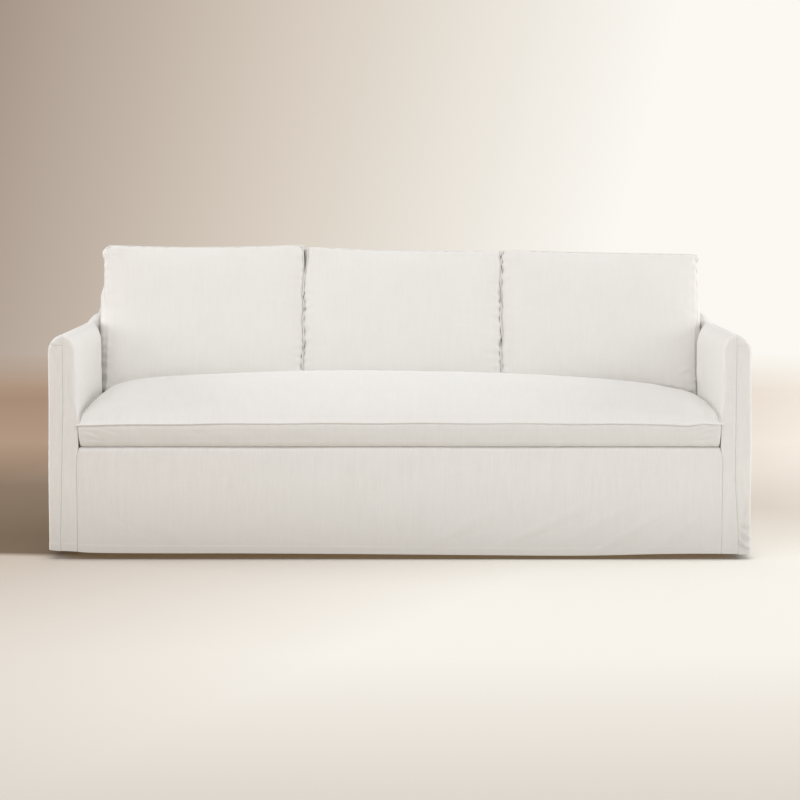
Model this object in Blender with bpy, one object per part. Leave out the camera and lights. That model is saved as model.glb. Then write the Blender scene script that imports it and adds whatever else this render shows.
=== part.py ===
"""A fitted linen cover for a three-seat sofa with slim upright arms and one bench seat cushion.

The cover is hollow: every panel is a cloth sheet that stands where the frame of the sofa would
hold it, sewn to its neighbours along narrow seams. The seat cushion and the three back cushions
are filled. Metres, +Z up, the front faces -Y, and the origin is on the hem's level at the centre.
"""

from math import cos, pi, sin, sqrt

import bmesh
import bpy

# ---------------------------------------------------------------- driving dimensions
HALF_WIDTH = 1.065  # outer side of each arm
FRONT = -0.490  # plane of the apron and of the arm fronts
BACK_HEM = 0.462  # outside back at the hem
BACK_TOP_Y = 0.490  # outside back at its top: it rakes a little
BACK_TOP = 0.784  # top of the back, under the cushions' tops
BACK_CORNER = 0.055  # rounding of the back's two top corners
SHEET = 0.003  # the linen with its seam allowances
SEAM = 0.0003  # gap along a seam

ARM_TOP = 0.674  # ridge of the arm at its front
RIDGE = 1.0215  # x of the seam along the ridge and down the arm's front
INNER = 0.977  # inner side of the arm
OUTER_ROUND = 0.055  # height of the rounding outside the ridge
INNER_ROUND = 0.066  # height of the rounding inside the ridge
RIDGE_SAG = 0.002  # the ridge hangs this much at its middle
RIDGE_RISE = 0.014  # and sweeps up this much where it meets the back
REAR_TAPER = 0.026  # the arm's padding ends: its inner side steps out here
TAPER_FROM, TAPER_LONG = 0.085, 0.105
EDGE_OUT, EDGE_TOP, EDGE_IN = 0.008, 0.010, 0.016  # radii of the arm's front edges

DECK = 0.331  # upper side of the platform under the seat cushion
APRON_EDGE = 0.012  # rounding of the apron's top edge
REST_FOOT, REST_TOP = 0.300, 0.402  # inside back's y at the deck and at its top

SEAT_HALF = 0.9745
SEAT_FRONT, SEAT_REAR = -0.4845, 0.284
SEAT_LIP = 0.404  # height of the seat cushion's upper front seam
REST_LEAN = 0.222  # sine of the back cushions' lean
REST_AT = (0.112, 0.461)  # y, z of their front lower edge
LIFT = 0.0006

LINEN = (0.86, 0.84, 0.80, 1.0)

# How far the hem stands above its lowest line, along the front.
HEM = (
    # x, rise
    (-1.070, 0.0250),
    (-1.045, 0.0212),
    (-1.000, 0.0175),
    (-0.940, 0.0120),
    (-0.780, 0.0096),
    (-0.480, 0.0073),
    (-0.120, 0.0050),
    (0.240, 0.0020),
    (0.490, 0.0000),
    (0.620, 0.0012),
    (0.780, 0.0050),
    (0.940, 0.0063),
    (1.070, 0.0040),
)

# Height of the seat cushion's crown over its width.
CROWN = (
    # x, z
    (-0.9745, 0.446),
    (-0.940, 0.472),
    (-0.885, 0.493),
    (-0.790, 0.506),
    (-0.560, 0.517),
    (-0.280, 0.525),
    (0.000, 0.523),
    (0.330, 0.517),
    (0.660, 0.498),
    (0.790, 0.486),
    (0.860, 0.477),
    (0.910, 0.464),
    (0.9745, 0.444),
)

# Share of the crown reached over the seat cushion's depth.
DEPTH = (
    # y, share
    (-0.4845, 0.00),
    (-0.470, 0.20),
    (-0.440, 0.40),
    (-0.390, 0.58),
    (-0.300, 0.78),
    (-0.180, 0.94),
    (-0.050, 1.00),
    (0.045, 0.93),
    (0.095, 0.74),
    (0.128, 0.44),
    (0.160, 0.33),
    (0.200, 0.27),
    (0.260, 0.15),
    (0.284, 0.05),
)

# Slack in the apron: soft slanting folds, each from its foot at the hem upwards.
FOLDS = (
    # foot x, slant (dx per dz), from z, to z, half width, depth
    (0.050, 1.60, 0.020, 0.150, 0.026, 0.0022),
    (0.260, 1.90, 0.010, 0.170, 0.024, 0.0030),
    (0.430, 1.70, 0.030, 0.190, 0.022, 0.0026),
    (0.590, 1.50, 0.005, 0.150, 0.020, 0.0034),
    (0.760, 1.20, 0.010, 0.140, 0.018, 0.0028),
    (-0.620, -1.20, 0.020, 0.120, 0.030, 0.0015),
)

# Each back cushion: its two sides, the height of its top at both ends, and the sag between.
BACK_CUSHIONS = (
    # name, left x, right x, top at left, top at right, sag
    ("left", -0.9880, -0.3165, 0.9305, 0.9320, 0.0085),
    ("middle", -0.3150, 0.3365, 0.9250, 0.9130, 0.0070),
    ("right", 0.3380, 0.9960, 0.9140, 0.9000, 0.0020),
)
EAR = 0.009  # the outer top corners stand out this much


# ---------------------------------------------------------------- small maths
def ease(t):
    t = min(max(t, 0.0), 1.0)
    return t * t * (3 - 2 * t)


def mix(a, b, t):
    return a + (b - a) * t


def read(table, at):
    """Value of a two-column table at a place, on a smooth curve through its rows."""
    if at <= table[0][0]:
        return table[0][1]
    for i in range(len(table) - 1):
        (a, low), (b, high) = table[i], table[i + 1]
        if at <= b:
            before, after = table[max(i - 1, 0)], table[min(i + 2, len(table) - 1)]
            start = (high - before[1]) / (b - before[0]) * (b - a)
            end = (after[1] - low) / (after[0] - a) * (b - a)
            t = (at - a) / (b - a)
            return (
                low * (2 * t**3 - 3 * t**2 + 1)
                + start * (t**3 - 2 * t**2 + t)
                + high * (3 * t**2 - 2 * t**3)
                + end * (t**3 - t**2)
            )
    return table[-1][1]


def spread(*runs):
    """Stations from (start, end, steps) runs that follow each other."""
    stations = [runs[0][0]]
    for start, end, steps in runs:
        stations += [mix(start, end, (i + 1) / steps) for i in range(steps)]
    return stations


# ---------------------------------------------------------------- building
def linen(name, tint):
    material = bpy.data.materials.new(name + "_linen")
    material.use_nodes = True
    shader = material.node_tree.nodes["Principled BSDF"]
    shader.inputs["Base Color"].default_value = [c * tint for c in LINEN[:3]] + [1.0]
    shader.inputs["Roughness"].default_value = 0.9
    return material


def add(name, mesh, tint=1.0):
    obj = bpy.data.objects.new(name, mesh)
    obj.data.materials.append(linen(name, tint))
    bpy.data.collections["sofa_slipcover"].objects.link(obj)
    obj.data.shade_smooth()
    obj.data.set_sharp_from_angle(angle=0.6)
    return obj


def sheet(name, patches, side=1, tint=1.0):
    """Grids that share edges, sewn into one cloth whose thickness lies behind its outer face.

    Each patch is (us, vs, place): stations both ways, and a function that gives the point and
    the outward direction there, so that two panels meet squarely along their seam.
    """
    mesh = bmesh.new()
    outward = mesh.verts.layers.float_vector.new("outward")
    for us, vs, place in patches:
        made = bmesh.ops.create_grid(
            mesh, x_segments=len(us) - 1, y_segments=len(vs) - 1, size=1.0
        )["verts"]
        for vert in made:
            u = us[round((vert.co.x + 1) / 2 * (len(us) - 1))]
            v = vs[round((vert.co.y + 1) / 2 * (len(vs) - 1))]
            vert.co, vert[outward] = place(u, v)
    bmesh.ops.remove_doubles(mesh, verts=mesh.verts, dist=0.00002)
    inner = bmesh.ops.extrude_face_region(mesh, geom=mesh.faces[:], use_keep_orig=True)
    for vert in inner["geom"]:
        if isinstance(vert, bmesh.types.BMVert):
            vert.co -= vert[outward] * SHEET
    bmesh.ops.scale(mesh, vec=(side, 1, 1), verts=mesh.verts)
    mesh.normal_update()
    bmesh.ops.recalc_face_normals(mesh, faces=mesh.faces)
    data = bpy.data.meshes.new(name)
    mesh.to_mesh(data)
    mesh.free()
    return add(name, data, tint)


def filled(name, cuts, place, tint=1.0):
    """A block sliced at the stations of each axis, with each of its points put in place."""
    mesh = bmesh.new()
    bmesh.ops.create_cube(mesh, size=2.0)
    for axis, stations in enumerate(cuts):
        normal = [1.0 if axis == i else 0.0 for i in range(3)]
        for at in stations:
            bmesh.ops.bisect_plane(
                mesh,
                geom=mesh.verts[:] + mesh.edges[:] + mesh.faces[:],
                dist=1e-6,
                plane_co=[at * n for n in normal],
                plane_no=normal,
            )
    for vert in mesh.verts:
        vert.co = place(*vert.co)
    mesh.normal_update()
    bmesh.ops.recalc_face_normals(mesh, faces=mesh.faces)
    data = bpy.data.meshes.new(name)
    mesh.to_mesh(data)
    mesh.free()
    return add(name, data, tint)


# ---------------------------------------------------------------- the surfaces that panels share
def hem(x):
    return max(read(HEM, x), 0.0)


def back_face(z):
    """y of the outside back's outer face."""
    return mix(BACK_HEM, BACK_TOP_Y, z / BACK_TOP)


def rest_face(z):
    """y of the inside back's outer face."""
    return mix(REST_FOOT, REST_TOP, (z - DECK) / (BACK_TOP - DECK))


def arm_inside(y):
    return INNER + REAR_TAPER * ease((y - TAPER_FROM) / TAPER_LONG)


def ridge_height(y):
    along = (y - FRONT) / (BACK_TOP_Y - FRONT)
    return ARM_TOP - RIDGE_SAG * sin(pi * along) + RIDGE_RISE * ease((y - 0.28) / 0.14)


def rounding(turn, half, rise, power=2.3):
    """Offsets from the foot of an arm's rounded top, and the normal, turn 0 to 1."""
    angle = turn * pi / 2
    across = max(cos(angle), 0.0) ** (2 / power)
    up = sin(angle) ** (2 / power)
    nx = across ** (power - 1) / half
    nz = up ** (power - 1) / rise
    long = sqrt(nx * nx + nz * nz)
    return half * across, rise * up, nx / long, nz / long


def outer_section(q, y):
    """Point and normal on the arm's outer half: q 0 hem, 1 foot of the rounding, 2 ridge."""
    top = ridge_height(y)
    knee = top - OUTER_ROUND
    if q <= 1:
        z = mix(hem(HALF_WIDTH), knee, q)
        return HALF_WIDTH, z, 1.0, 0.0
    across, up, nx, nz = rounding(q - 1, HALF_WIDTH - RIDGE, OUTER_ROUND)
    return RIDGE + across, knee + up, nx, nz


def inner_section(q, y):
    """Point and normal on the arm's inner half: q 0 deck, 1 foot of the rounding, 2 ridge."""
    top = ridge_height(y)
    knee = top - INNER_ROUND
    inside = arm_inside(y)
    if q <= 1:
        z = mix(DECK - SHEET, knee, q)
        return inside, z, -1.0, 0.0
    across, up, nx, nz = rounding(q - 1, RIDGE - inside, INNER_ROUND)
    return RIDGE - across, knee + up, -nx, nz


def arm_point(section, q, p, radius, rear):
    """Wraps an arm section round its front: p 0 seam, 1 and 2 ends of the edge, 3 rear."""
    if p > 2:
        end = BACK_TOP_Y
        for _ in range(3):  # the ridge's height and the raked end settle together
            end = rear(section(q, end)[1])
        y = mix(FRONT + radius, end, p - 2)
        x, z, nx, nz = section(q, y)
        return (x, y, z), (nx, 0.0, nz)
    x, z, nx, nz = section(q, FRONT + radius)
    if p <= 1:
        return (mix(RIDGE, x - nx * radius, p), FRONT, z - nz * radius), (0.0, -1.0, 0.0)
    angle = (2 - p) * pi / 2
    back = radius * (1 - cos(angle))
    point = (x - nx * back, FRONT + radius * (1 - sin(angle)), z - nz * back)
    return point, (nx * cos(angle), -sin(angle), nz * cos(angle))


def outer_arm(q, p):
    radius = mix(EDGE_OUT, EDGE_TOP, ease(q - 1))
    (x, y, z), normal = arm_point(
        outer_section, q, p, radius, lambda z: back_face(z) - SHEET - SEAM
    )
    return (max(x, RIDGE + SEAM / 2), y, z), normal


def inner_arm(q, p):
    grown = ease(q * 0.28 / 0.045)  # the front edge starts sharp at the deck
    radius = mix(EDGE_IN * grown, EDGE_TOP, ease(q - 1))
    (x, y, z), normal = arm_point(
        inner_section, q, p, radius, lambda z: rest_face(z - SHEET) - SEAM
    )
    return (min(x, RIDGE - SEAM / 2), y, z), normal


def arm_foot(u, z):
    """Strip of the inner arm panel beside the apron, under the deck's level."""
    x = min(mix(RIDGE, INNER, u), RIDGE - SEAM / 2)
    return (x, FRONT, mix(hem(x), DECK - SHEET, z)), (0.0, -1.0, 0.0)


def hung(place, side):
    """The same surface, let down to the hem of its own side of the cover."""

    def lowered(u, v):
        (x, y, z), normal = place(u, v)
        if side < 0:
            z += (hem(-x) - hem(x)) * max(1 - z / 0.25, 0.0)
        return (x, y, z), normal

    return lowered


# ---------------------------------------------------------------- panels
def make_arm(side, name):
    fold = 1.315  # section station of the seam between the top strip and the outer panel
    shift = 0.002  # half a seam there
    half = 0.012  # half a seam across the front edge
    ups = spread((0.0, 1.0, 6), (1.0, fold - shift, 3))
    round_up = spread((fold + shift, 2.0, 6))
    length = spread((2.0, 3.0, 10))

    sheet(
        f"arm_facing_{name}",
        [(ups, spread((0.0, 1.0, 2), (1.0, 1.5 - half, 2)), hung(outer_arm, side))],
        side,
        0.98,
    )
    sheet(
        f"arm_outer_{name}",
        [(ups, spread((1.5 + half, 2.0, 2)) + length[1:], hung(outer_arm, side))],
        side,
        0.94,
    )
    sheet(
        f"arm_top_{name}",
        [(round_up, spread((0.0, 1.0, 2), (1.0, 2.0, 3)) + length[1:], hung(outer_arm, side))],
        side,
        1.0,
    )
    rear = spread((2.0, 2.55, 3), (2.55, 2.85, 8), (2.85, 3.0, 2))
    rise = spread((0.0, 0.16, 3), (0.16, 1.0, 4), (1.0, 2.0, 7))
    sheet(
        f"arm_inner_{name}",
        [
            (rise, spread((0.0, 1.0, 2), (1.0, 2.0, 4)) + rear[1:], hung(inner_arm, side)),
            (spread((0.0, 1.0, 2)), spread((0.0, 1.0, 4)), hung(arm_foot, side)),
        ],
        side,
        0.96,
    )


def apron_slack(x, z):
    """How far the apron stands out: a soft fullness and a few slanting folds."""
    up = min(max(z / (DECK - APRON_EDGE), 0.0), 1.0)
    out = 0.004 * (1 - (x / INNER) ** 4) * (1 - (2 * up - 1) ** 4)
    for foot, slant, low, high, half, depth in FOLDS:
        along = (z - low) / (high - low)
        if 0 < along < 1:
            off = (x - foot - slant * z) / half
            out += depth * sin(pi * along) * (1 / (1 + off**4))
    return out * min(1, (INNER - abs(x)) / 0.05)


def front_apron():
    half = INNER - SEAM

    def face(x, t):
        z = mix(hem(x), DECK - APRON_EDGE, t)
        return (x, FRONT - apron_slack(x, z), z), (0.0, -1.0, 0.0)

    def edge(x, t):
        angle = t * pi / 2
        y = FRONT + APRON_EDGE * (1 - cos(angle))
        point = (x, y, DECK - APRON_EDGE * (1 - sin(angle)))
        return point, (0.0, -cos(angle), sin(angle))

    xs = spread((-half, -0.90, 2), (-0.90, -0.20, 8), (-0.20, 0.90, 26), (0.90, half, 2))
    sheet(
        "front_apron",
        [(xs, spread((0, 1, 9)), face), (xs, spread((0, 1, 3)), edge)],
    )


def deck():
    rear = rest_face(DECK - SHEET) - 2 * SEAM
    front = FRONT + APRON_EDGE + SEAM
    steps = spread((front, 0.0, 3), (0.0, 0.18, 5), (0.18, rear, 1))

    def place(u, y):
        return (u * (arm_inside(y) - 0.0015), y, DECK), (0.0, 0.0, 1.0)

    sheet("deck", [(spread((-1, 1, 6)), steps, place)], tint=0.9)


def neck(z):
    """Half width of the back above the arms, with its rounded top corners."""
    wide = RIDGE - SEAM / 2
    over = (z - (BACK_TOP - BACK_CORNER)) / BACK_CORNER
    return wide - BACK_CORNER * (1 - sqrt(max(0.0, 1 - max(over, 0.0) ** 2)))


def inside_back():
    def half(z):
        low = arm_inside(rest_face(z)) + SHEET
        return min(mix(low, neck(z), ease((z - 0.614) / 0.06)), neck(z))

    def place(u, z):
        bulge = 0.006 * (1 - u * u) * sin(pi * (z - DECK) / (BACK_TOP - DECK))
        return (u * half(z), rest_face(z) - max(bulge, 0.0), z), (0.0, -1.0, 0.0)

    corner = [BACK_TOP - BACK_CORNER * (1 - sin(a * pi / 10)) for a in range(1, 6)]
    ups = spread((DECK - SHEET, 0.614, 4), (0.614, 0.674, 3), (0.674, BACK_TOP - BACK_CORNER, 1))
    sheet("inside_back", [(spread((-1, 1, 10)), ups + corner, place)], tint=0.93)


def outside_back():
    section_y = BACK_TOP_Y

    def half(z):
        top = ridge_height(section_y)
        knee = top - OUTER_ROUND
        if z <= knee:
            return HALF_WIDTH
        if z < top:
            power = 2.3
            share = (1 - ((z - knee) / OUTER_ROUND) ** power) ** (1 / power)
            return RIDGE + (HALF_WIDTH - RIDGE) * share
        return neck(z)

    def place(u, z):
        bulge = 0.005 * (1 - u**4) * sin(pi * min(z / BACK_TOP, 1))
        x = u * half(z)
        height = z + hem(x) * max(1 - z / 0.2, 0.0)
        return (x, back_face(height) + max(bulge, 0.0), height), (0.0, 1.0, 0.0)

    top = ridge_height(section_y)
    knee = top - OUTER_ROUND
    bend = [knee + OUTER_ROUND * sin(a * pi / 12) ** 0.87 for a in range(1, 7)]
    corner = [BACK_TOP - BACK_CORNER * (1 - sin(a * pi / 10)) for a in range(1, 6)]
    ups = spread((0.0, knee, 6)) + bend + [top + 0.002, BACK_TOP - BACK_CORNER] + corner
    sheet("outside_back", [(spread((-1, 1, 12)), ups, place)], tint=0.9)


def back_boxing():
    top = ridge_height(BACK_TOP_Y)
    wide = RIDGE - SEAM / 2
    turn = [a * pi / 12 for a in range(7)]
    low, high = top - SHEET, BACK_TOP - BACK_CORNER
    half_path = [(wide, mix(low, high, t), 0.0) for t in (0.0, 0.5)]
    half_path += [
        (wide - BACK_CORNER * (1 - cos(a)), BACK_TOP - BACK_CORNER * (1 - sin(a)), a)
        for a in turn
    ]
    half_path += [((wide - BACK_CORNER) * x, BACK_TOP, pi / 2) for x in (0.75, 0.5, 0.25, 0)]
    path = half_path + [(-x, z, pi - a) for x, z, a in reversed(half_path[:-1])]

    def place(i, t):
        x, z, a = path[round(i)]
        front, rear = rest_face(z) + SHEET + SEAM, back_face(z) - SHEET - SEAM
        return (x, mix(front, rear, t), z), (cos(a), 0.0, sin(a))

    stations = list(range(len(path)))
    sheet("back_boxing", [(stations, spread((0, 1, 2)), place)], tint=0.97)


# ---------------------------------------------------------------- cushions
def both(*stations):
    return [-s for s in reversed(stations)] + [0.0] + list(stations)


def seat_cushion():
    """One long boxed cushion: flat below, thin boxing, high uneven crown, drawn-in lower edge."""

    def place(u, v, w):
        x = u * SEAT_HALF
        y = mix(SEAT_FRONT, SEAT_REAR, (v + 1) / 2)
        corner = abs(u) ** 26 * abs(v) ** 26 * (0.3 + 0.35 * (1 - w))
        x -= (0.009 + 0.010 * (u < 0) * (1 - w) / 2) * corner * u
        y -= 0.012 * corner * v
        lip = SEAT_LIP + 0.005 * (1 - u * u) - 0.002 * (u < 0) * u * u
        if w < 1:
            lift = (w + 1) / 2
            z = mix(DECK + LIFT, lip, lift)
            side = max(abs(u), abs(v)) > 0.9999
            bulge = 0.006 * sin(pi * lift) - 0.010 * (1 - lift) ** 2
            if side and abs(v) > 0.9999:
                y += v * bulge
            if side and abs(u) > 0.9999:
                x += u * min(bulge, 0.0) * 0.8
            return x, y, z
        rise = read(CROWN, x) - SEAT_LIP
        edge = 1 - abs(u)
        roll = sqrt(max(0.0, 1 - (1 - min(edge / 0.014, 1.0)) ** 2))
        fuller = 0.5 * abs(u) ** 8 * ease((0.8 - v) / 0.6)
        share = read(DEPTH, y) ** (1 - fuller)
        z = lip + max(rise, 0.0) * share * roll
        return x, y, z

    us = both(0.15, 0.3, 0.45, 0.6, 0.72, 0.82, 0.89, 0.935, 0.965, 0.985, 0.995)
    vs = [-0.985, -0.95, -0.89, -0.80, -0.66, -0.48, -0.25, 0.0, 0.2, 0.36, 0.46, 0.53]
    vs += [0.60, 0.68, 0.80, 0.92, 0.98]
    filled("seat_cushion", (us, vs, [-0.5, 0.1, 0.6]), place)


def back_cushion(name, left, right, top_left, top_right, sag):
    """A boxed cushion that leans on the back: crowned face, puckered sides, flat behind."""
    lean = sqrt(1 - REST_LEAN**2)
    foot_y, foot_z = REST_AT
    width = right - left

    def place(u, v, w):
        """u across, v up the cushion, w from its face (-1) to its rear (1)."""
        across = (u + 1) / 2
        up = (v + 1) / 2
        tall = (mix(top_left, top_right, across) - foot_z) / lean
        tall -= sag * (1 - u * u) * max(v, 0)
        free = (name == "left") * (u < 0) + (name == "right") * (u > 0)
        top = max(v, 0) ** 8
        corner = abs(u) ** 14 * abs(v) ** 14
        pull = (0.008 + 0.004 * (v < 0)) * corner * (1 - 0.6 * free * (v > 0))
        squeeze = 0.024 * (1 - ease(up / 0.55)) * free  # held between the arms lower down
        squeeze -= EAR * top * free
        boxing = 0.148
        thick = mix(0.030, 0.030 + boxing, (w + 1) / 2)
        x = left + across * width
        s = up * tall
        x -= u * (pull + abs(u) ** 8 * squeeze)
        s -= v * pull
        if abs(u) > 0.9999:
            x -= u * (0.006 * free * (1 - top) * (1 - cos(pi * w / 2)) + 0.002 * w * w)
        if abs(v) > 0.9999:
            s += v * 0.008 * cos(pi * w / 2) - v * 0.006
        if w < -0.9999:
            fill = (1 - abs(u) ** 3.4) ** 0.62 * (1 - abs(v) ** 3.0) ** 0.62
            thick -= 0.030 * fill + 0.006 * (1 - u * u) * max(-v, 0) * (1 + v)
        if w > 0.9999:
            fill = (1 - abs(u) ** 4) ** 0.6 * (1 - abs(v) ** 4) ** 0.6
            thick += 0.024 * fill
        y = foot_y + s * REST_LEAN + thick * lean
        z = foot_z + s * lean - thick * REST_LEAN + 0.006
        return x, y, z

    us = both(0.2, 0.4, 0.6, 0.78, 0.9, 0.97)
    vs = both(0.25, 0.5, 0.7, 0.85, 0.95)
    filled(f"back_cushion_{name}", (us, vs, [-0.5, 0.0, 0.5]), place, 0.99)


# ---------------------------------------------------------------- the cover
for startup in list(bpy.data.objects):
    bpy.data.objects.remove(startup)
bpy.context.scene.unit_settings.scale_length = 1.0
collection = bpy.data.collections.new("sofa_slipcover")
bpy.context.scene.collection.children.link(collection)

front_apron()
deck()
inside_back()
back_boxing()
outside_back()
make_arm(1, "right")
make_arm(-1, "left")
seat_cushion()
for row in BACK_CUSHIONS:
    back_cushion(*row)
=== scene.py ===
# %% [markdown]
# # A fitted linen cover for a three-seat sofa
#
# The real cover is a shell of linen panels sewn edge to edge: an apron along the front, an
# outer and an inner panel on each arm with a narrow facing and a strip over the top between
# them, a deck under the seat cushion, and a back. Four filled cushions come with it. The model
# has the same parts: each panel is a thin sheet with its own seams, and each cushion is blown up
# like a pillow and then given its sewn edges.

from math import asin, ceil, cos, degrees, pi, radians, sin, sqrt

import bmesh
import bpy
import numpy as np
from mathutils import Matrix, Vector


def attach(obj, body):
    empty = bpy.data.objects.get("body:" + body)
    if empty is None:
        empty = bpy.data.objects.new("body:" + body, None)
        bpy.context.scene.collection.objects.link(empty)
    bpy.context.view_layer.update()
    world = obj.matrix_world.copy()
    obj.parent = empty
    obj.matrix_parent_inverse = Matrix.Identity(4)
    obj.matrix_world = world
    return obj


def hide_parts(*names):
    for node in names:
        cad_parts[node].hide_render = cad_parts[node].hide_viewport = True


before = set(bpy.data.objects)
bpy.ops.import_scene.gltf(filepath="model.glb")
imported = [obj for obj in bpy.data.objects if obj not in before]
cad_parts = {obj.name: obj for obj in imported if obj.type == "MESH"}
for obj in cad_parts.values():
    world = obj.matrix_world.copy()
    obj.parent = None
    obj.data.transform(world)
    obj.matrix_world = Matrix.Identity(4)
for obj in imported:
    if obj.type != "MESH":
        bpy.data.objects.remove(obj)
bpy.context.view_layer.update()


def placed(name, data):
    """Puts a mesh, a curve, a light or a camera into the scene, at the origin."""
    made = bpy.data.objects.new(name, data)
    bpy.context.scene.collection.objects.link(made)
    return made


# %% [markdown]
# ## The camera
#
# A long lens seven metres away, a little above the back cushions and tipped slightly down, keeps
# the arms upright and shows the tops of the arms and of the seat. A short lens close by would
# spread the arms outwards. The lens is given as a share of the picture's width, so the view
# doesn't depend on the picture's size.

# %% Camera
EYE = (0.0013, -7.490, 1.159)
DOWN = 5.56  # degrees
FOCAL = 2319.0 / 800.0  # focal length as a share of the picture's width
SENSOR = 36.0  # mm

camera = placed("camera", bpy.data.cameras.new("camera"))
camera.data.sensor_width = SENSOR
camera.data.lens = FOCAL * SENSOR
camera.location = EYE
camera.rotation_euler = (radians(90.0 - DOWN), 0.0, 0.0)
bpy.context.scene.camera = camera
print("lens", round(camera.data.lens, 1), "mm")

# %% [markdown]
# ## Sizes
#
# These repeat the cover's own sizes, so that every sheet lies where its solid does. Metres, +Z up,
# the front faces -Y. A shape that changes unevenly, such as the hem's line, is a short table, read
# along a smooth curve through its rows: that is easier to adjust than a formula, and it needs far
# fewer numbers than a list of points.

# %% Sizes of the cover
HALF_WIDTH = 1.065  # to the outer side of an arm
FRONT = -0.490
BACK_HEM, BACK_TOP_Y = 0.462, 0.490  # y of the outside back, at the hem and at its top
BACK_TOP, BACK_CORNER = 0.784, 0.055  # height of the back, radius of its upper corners
SHEET, SEAM = 0.003, 0.0003  # a panel's solid is this thick, and this far from the next
ARM_TOP, RIDGE, INNER = 0.674, 1.0215, 0.977  # an arm's height, and x of its ridge and inner side
OUTER_ROUND, INNER_ROUND = 0.055, 0.066  # how far below the ridge the rounding starts
RIDGE_SAG, RIDGE_RISE, RISE_FROM, RISE_LONG = 0.002, 0.014, 0.28, 0.14
REAR_TAPER, TAPER_FROM, TAPER_LONG = 0.026, 0.085, 0.105  # the arm is narrower beside the back
EDGE_OUT, EDGE_TOP, EDGE_IN = 0.008, 0.010, 0.016  # radii of the arm's front edges
DECK, APRON_EDGE = 0.331, 0.012  # height of the deck, radius of the apron's upper edge
REST_FOOT, REST_TOP = 0.300, 0.402  # y of the inside back, at the deck and at its top

HEM = (
    # x, rise of the hem over its lowest line
    (-1.070, 0.0190),
    (-1.045, 0.0165),
    (-1.000, 0.0140),
    (-0.940, 0.0095),
    (-0.780, 0.0076),
    (-0.480, 0.0073),
    (-0.120, 0.0050),
    (0.240, 0.0020),
    (0.490, 0.0000),
    (0.620, 0.0012),
    (0.780, 0.0050),
    (0.940, 0.0063),
    (1.070, 0.0040),
)
print("cover:", 2 * HALF_WIDTH, "m wide, its back", BACK_TOP, "m high")


# %% Reading tables and easing
def ease(t):
    t = min(max(t, 0.0), 1.0)
    return t * t * (3 - 2 * t)


def soft(t):
    """The same easing for a whole array."""
    t = np.clip(t, 0.0, 1.0)
    return t * t * (3 - 2 * t)


def mix(a, b, t):
    return a + (b - a) * t


def read(table, at):
    """The value at a place, on a smooth curve through the table's rows."""
    if at <= table[0][0]:
        return table[0][1]
    for i in range(len(table) - 1):
        (a, low), (b, high) = table[i], table[i + 1]
        if at <= b:
            before, after = table[max(i - 1, 0)], table[min(i + 2, len(table) - 1)]
            start = (high - before[1]) / (b - before[0]) * (b - a)
            end = (after[1] - low) / (after[0] - a) * (b - a)
            t = (at - a) / (b - a)
            return (
                low * (2 * t**3 - 3 * t**2 + 1)
                + start * (t**3 - 2 * t**2 + t)
                + high * (3 * t**2 - 2 * t**3)
                + end * (t**3 - t**2)
            )
    return table[-1][1]


print("hem at the left corner:", round(read(HEM, -HALF_WIDTH), 4))

# %% [markdown]
# ## The surfaces under the cloth
#
# A frame of wood and padding holds the cloth up. It is left out, but its shape is what the panels
# follow: an upright arm with a rounded top and softly rounded front edges, and a back that leans
# a little. Each arm surface is walked with two numbers, q from the hem up to the ridge and p from
# the front seam round to the rear, so that neighbouring panels meet along the same lines.


# %% The back and the arm's ridge
def hem(x):
    return max(read(HEM, x), 0.0)


def back_face(z):
    """y of the outside back at a height."""
    return mix(BACK_HEM, BACK_TOP_Y, z / BACK_TOP)


def rest_face(z):
    """y of the inside back at a height."""
    return mix(REST_FOOT, REST_TOP, (z - DECK) / (BACK_TOP - DECK))


def arm_inside(y):
    """x of the arm's inner side."""
    return INNER + REAR_TAPER * ease((y - TAPER_FROM) / TAPER_LONG)


def ridge_height(y):
    along = (y - FRONT) / (BACK_TOP_Y - FRONT)
    return ARM_TOP - RIDGE_SAG * sin(pi * along) + RIDGE_RISE * ease((y - RISE_FROM) / RISE_LONG)


print("ridge at the front and at the rear:", ridge_height(FRONT), ridge_height(BACK_TOP_Y))


# %% Sections of an arm
def rounding(turn, half, rise, power=2.3):
    """A quarter of a superellipse: the offsets across and up, and the normal there."""
    angle = turn * pi / 2
    across = max(cos(angle), 0.0) ** (2 / power)
    up = sin(angle) ** (2 / power)
    nx, nz = across ** (power - 1) / half, up ** (power - 1) / rise
    long = sqrt(nx * nx + nz * nz)
    return half * across, rise * up, nx / long, nz / long


def outer_section(q, y):
    knee = ridge_height(y) - OUTER_ROUND
    if q <= 1:
        return HALF_WIDTH, mix(hem(HALF_WIDTH), knee, q), 1.0, 0.0
    across, up, nx, nz = rounding(q - 1, HALF_WIDTH - RIDGE, OUTER_ROUND, 2.0)
    return RIDGE + across, knee + up, nx, nz


def inner_section(q, y):
    knee = ridge_height(y) - INNER_ROUND
    inside = arm_inside(y)
    if q <= 1:
        return inside, mix(DECK - SHEET, knee, q), -1.0, 0.0
    across, up, nx, nz = rounding(q - 1, RIDGE - inside, INNER_ROUND)
    return RIDGE - across, knee + up, -nx, nz


print("outer half at its ridge:", [round(c, 4) for c in outer_section(2, FRONT)])


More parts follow.
